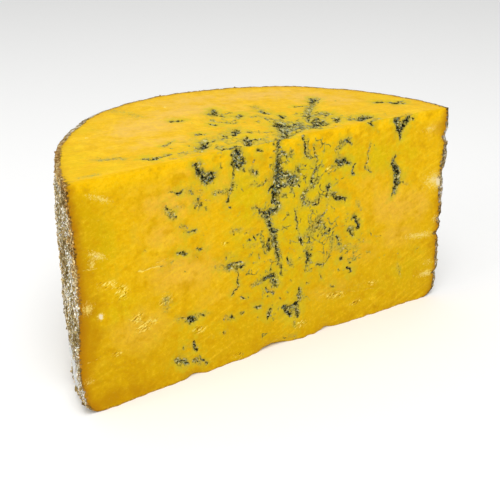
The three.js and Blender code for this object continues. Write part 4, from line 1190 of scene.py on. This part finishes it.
def marked(look, colour, gap, on_top):
    """Lays the amber edges, the band beside the rind, dried smears, torn flakes with painted highlight and
    shadow, and scratches over a colour.
    """
    uneven = look.noise(4.5, 4, rough=0.65)
    colour = look.lay(colour, PASTE_AMBER, look.ragged(look.stored("amber"), uneven, 0.6, 0.1, 1.0), 0.8)
    near_rind = look.ragged(gap, uneven, 2.0, 5.6, 0.2)
    colour = look.lay(colour, BY_RIND, near_rind, look.spread(on_top, 0.75, 0.3))
    powder = look.noise(0.9, 4, rough=0.85)
    smeared = look.ragged(look.stored("smear"), powder, 1.5, 0.4, 0.85)
    smear_colour = look.mix(look.ramp(look.stored("smear"), 0.7, 0.95), SMEAR_CREAM, SMEAR_WHITE)
    colour = look.lay(colour, smear_colour, smeared, 0.8)
    leaf = look.noise(1, 4, look.turned((0, -30, 0), (2.6, 3, 0.9)), rough=0.7, bend=0.8)
    torn = look.ragged(look.stored("torn"), powder, 0.5, 0.1, 0.6)
    # Painted light on the torn flakes: pale stripes stand in for their lit edges, brown stripes for their
    # shadows.
    colour = look.lay(colour, PALE_SCRATCH_AND_FLAKE_HIGHLIGHT, torn, look.ramp(leaf, 0.52, 0.59))
    colour = look.lay(colour, FLAKE_SHADOW_BROWN, torn, look.ramp(leaf, 0.44, 0.38))
    scratched = look.ragged(look.stored("scratch"), look.noise(2, 3), 0.4, 0.35, 0.7)
    return look.lay(colour, PALE_SCRATCH_AND_FLAKE_HIGHLIGHT, scratched, 0.65)


def crusted(look, colour, gap, on_top, height):
    """Lays the crust and the rind over a colour. Also gives where rind is, and how far its grains' edges are."""
    grain_edge, chance, _, _ = look.grains(0.8, bend=0.6)
    crumbly = look.spread(look.noise(1.5, 3, rough=0.75), -1.8, 1.8)
    crusty = look.sum(look.times(look.stored("crusty"), -3.4), look.times(on_top, -0.7))
    near = look.sum(look.sum(gap, crumbly), look.swung(crusty, chance, 0.6))
    at_foot = look.ramp(look.sum(height, look.times(crumbly, 0.5)), 0.8, 0.3)
    crust = look.most(look.ramp(near, 1.3, 0.5), at_foot)
    crust_tone = look.mix(look.ramp(chance, 0.5, 0.7), CRUST_LINE, RIND_OCHRE)
    colour = look.lay(colour, crust_tone, crust, 0.5)
    on_rind = look.most(look.ramp(near, 0.5, 0.1), look.ramp(gap, 0.4, 0.1))
    dust_and_light_cover = look.ragged(look.stored("dust_and_light"), look.noise(2.4, 3, rough=0.7), 0.7, 0.3, 0.7)
    # Pale dust, and painted light on the rind at the right end.
    rind = look.lay(rind_colour(look, chance), RIND_ASH_AND_LIGHT, dust_and_light_cover, 0.9)
    pores = look.times(look.ramp(grain_edge, 0.16, 0.04), look.spread(dust_and_light_cover, 0.6, 0.15))
    return look.mix(on_rind, colour, look.mix(pores, rind, RIND_PORE)), on_rind, grain_edge


def cheese_material():
    look = Recipe("cheese_cut_and_rind")
    gap, on_top = look.stored("rind_gap"), look.stored("on_top")
    height = look.add("ShaderNodeSeparateXYZ", {"Vector": look.here}).outputs["Z"]
    colour = marked(look, paste_colour(look, height, on_top), gap, on_top)
    colour, mouldy, dark = veined(look, colour)
    colour, on_rind, grain_edge = crusted(look, colour, gap, on_top, height)

    dry = look.most(mouldy, on_rind)
    relief = look.raise_by(look.noise(2.8, 4, rough=0.6), 0.22, 0.6)
    crumbly = look.times(look.noise(0.8, 3, rough=0.7), look.spread(dry, 0.25, 1))
    relief = look.raise_by(crumbly, 0.5, 0.9, relief)
    relief = look.raise_by(look.times(look.ramp(grain_edge, 0, 0.3), on_rind), 0.4, 0.8, relief)
    relief = look.raise_by(look.spread(dark, 1, 0), 0.5, 1.0, relief)
    look.fill(look.shader, {
        "Base Color": colour, "Roughness": look.spread(dry, PASTE_ROUGH, CRUST_ROUGH), "Normal": relief,
        "Subsurface Weight": GLOW, "Subsurface Radius": GLOW_REACH, "Subsurface Scale": MM,
        "IOR": PASTE_IOR, "Specular IOR Level": PASTE_SHINE,
    })
    return look.material


def crumb_material():
    look = Recipe("rind_crumbs")
    look.fill(look.shader, {
        "Base Color": rind_colour(look, look.stored("shade")), "Roughness": CRUST_ROUGH,
        "Specular IOR Level": CRUST_SHINE, "Normal": look.raise_by(look.noise(0.5, 3, rough=0.7), 0.2, 0.7),
    })
    return look.material


def floor_material():
    look = Recipe("pale_floor")
    finish = {"Roughness": FLOOR_ROUGH, "Specular IOR Level": FLOOR_SHINE}
    look.fill(look.shader, {"Base Color": linear(FLOOR_WHITE), **finish})
    return look.material


# ---- The room ----
CAMERA_PLACE = (-0.20528, -0.33095, 0.21192)
CAMERA_HEADING, CAMERA_DIP, CAMERA_ROLL = 33.71, 24.722, -0.121   # degrees
CAMERA_LENS, CAMERA_SENSOR = 59.32, 36.0
FLOOR_SIZE, FLOOR_CORNERS = 30.0, 96
SKY_STRENGTH = 0.66
LIGHTS_AIM = (0, 0, 0.05)
# Round soft lights: name, place, size and power
SOFTBOXES = [("key", (-0.35, -0.6, 1.35), 0.9, 12.5), ("side_fill", (-1.2, 0.02, 0.45), 0.6, 3.6)]


def add_floor():
    deselect_all()
    bpy.ops.mesh.primitive_circle_add(vertices=FLOOR_CORNERS, radius=FLOOR_SIZE / 2, fill_type="NGON")
    floor = bpy.context.object
    floor.name = "floor"
    floor.data.materials.append(floor_material())


def add_camera():
    data = bpy.data.cameras.new("camera")
    data.lens, data.sensor_width = CAMERA_LENS, CAMERA_SENSOR
    camera = bpy.data.objects.new("camera", data)
    bpy.context.scene.collection.objects.link(camera)
    heading, dip, roll = [math.radians(a) for a in (CAMERA_HEADING, CAMERA_DIP, CAMERA_ROLL)]
    turn = Matrix.Rotation(-heading, 4, "Z") @ Matrix.Rotation(math.pi / 2 - dip, 4, "X")
    camera.matrix_world = Matrix.Translation(CAMERA_PLACE) @ (turn @ Matrix.Rotation(-roll, 4, "Z"))
    bpy.context.scene.camera = camera


def add_softbox(name, place, size, power):
    data = bpy.data.lights.new(name, "AREA")
    data.shape, data.size, data.energy = "DISK", size, power
    lamp = bpy.data.objects.new(name, data)
    lamp.location = place
    lamp.rotation_euler = (Vector(LIGHTS_AIM) - Vector(place)).to_track_quat("-Z", "Y").to_euler()
    bpy.context.scene.collection.objects.link(lamp)


def light_room():
    world = bpy.data.worlds.new("studio")
    world.use_nodes = True
    sky = world.node_tree.nodes["Background"].inputs
    sky["Color"].default_value = (1, 1, 1, 1)
    sky["Strength"].default_value = SKY_STRENGTH
    bpy.context.scene.world = world
    for softbox in SOFTBOXES:
        add_softbox(*softbox)
    bpy.context.scene.view_settings.view_transform = "Standard"


add_camera()
light_room()
add_floor()
cheese = make_body()
cheese.data.materials.append(cheese_material())
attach(cheese, "root")
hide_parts("cheese_wedge")

crumbs = scatter_crumbs(cheese)
crumbs.data.materials.append(crumb_material())
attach(crumbs, "root")
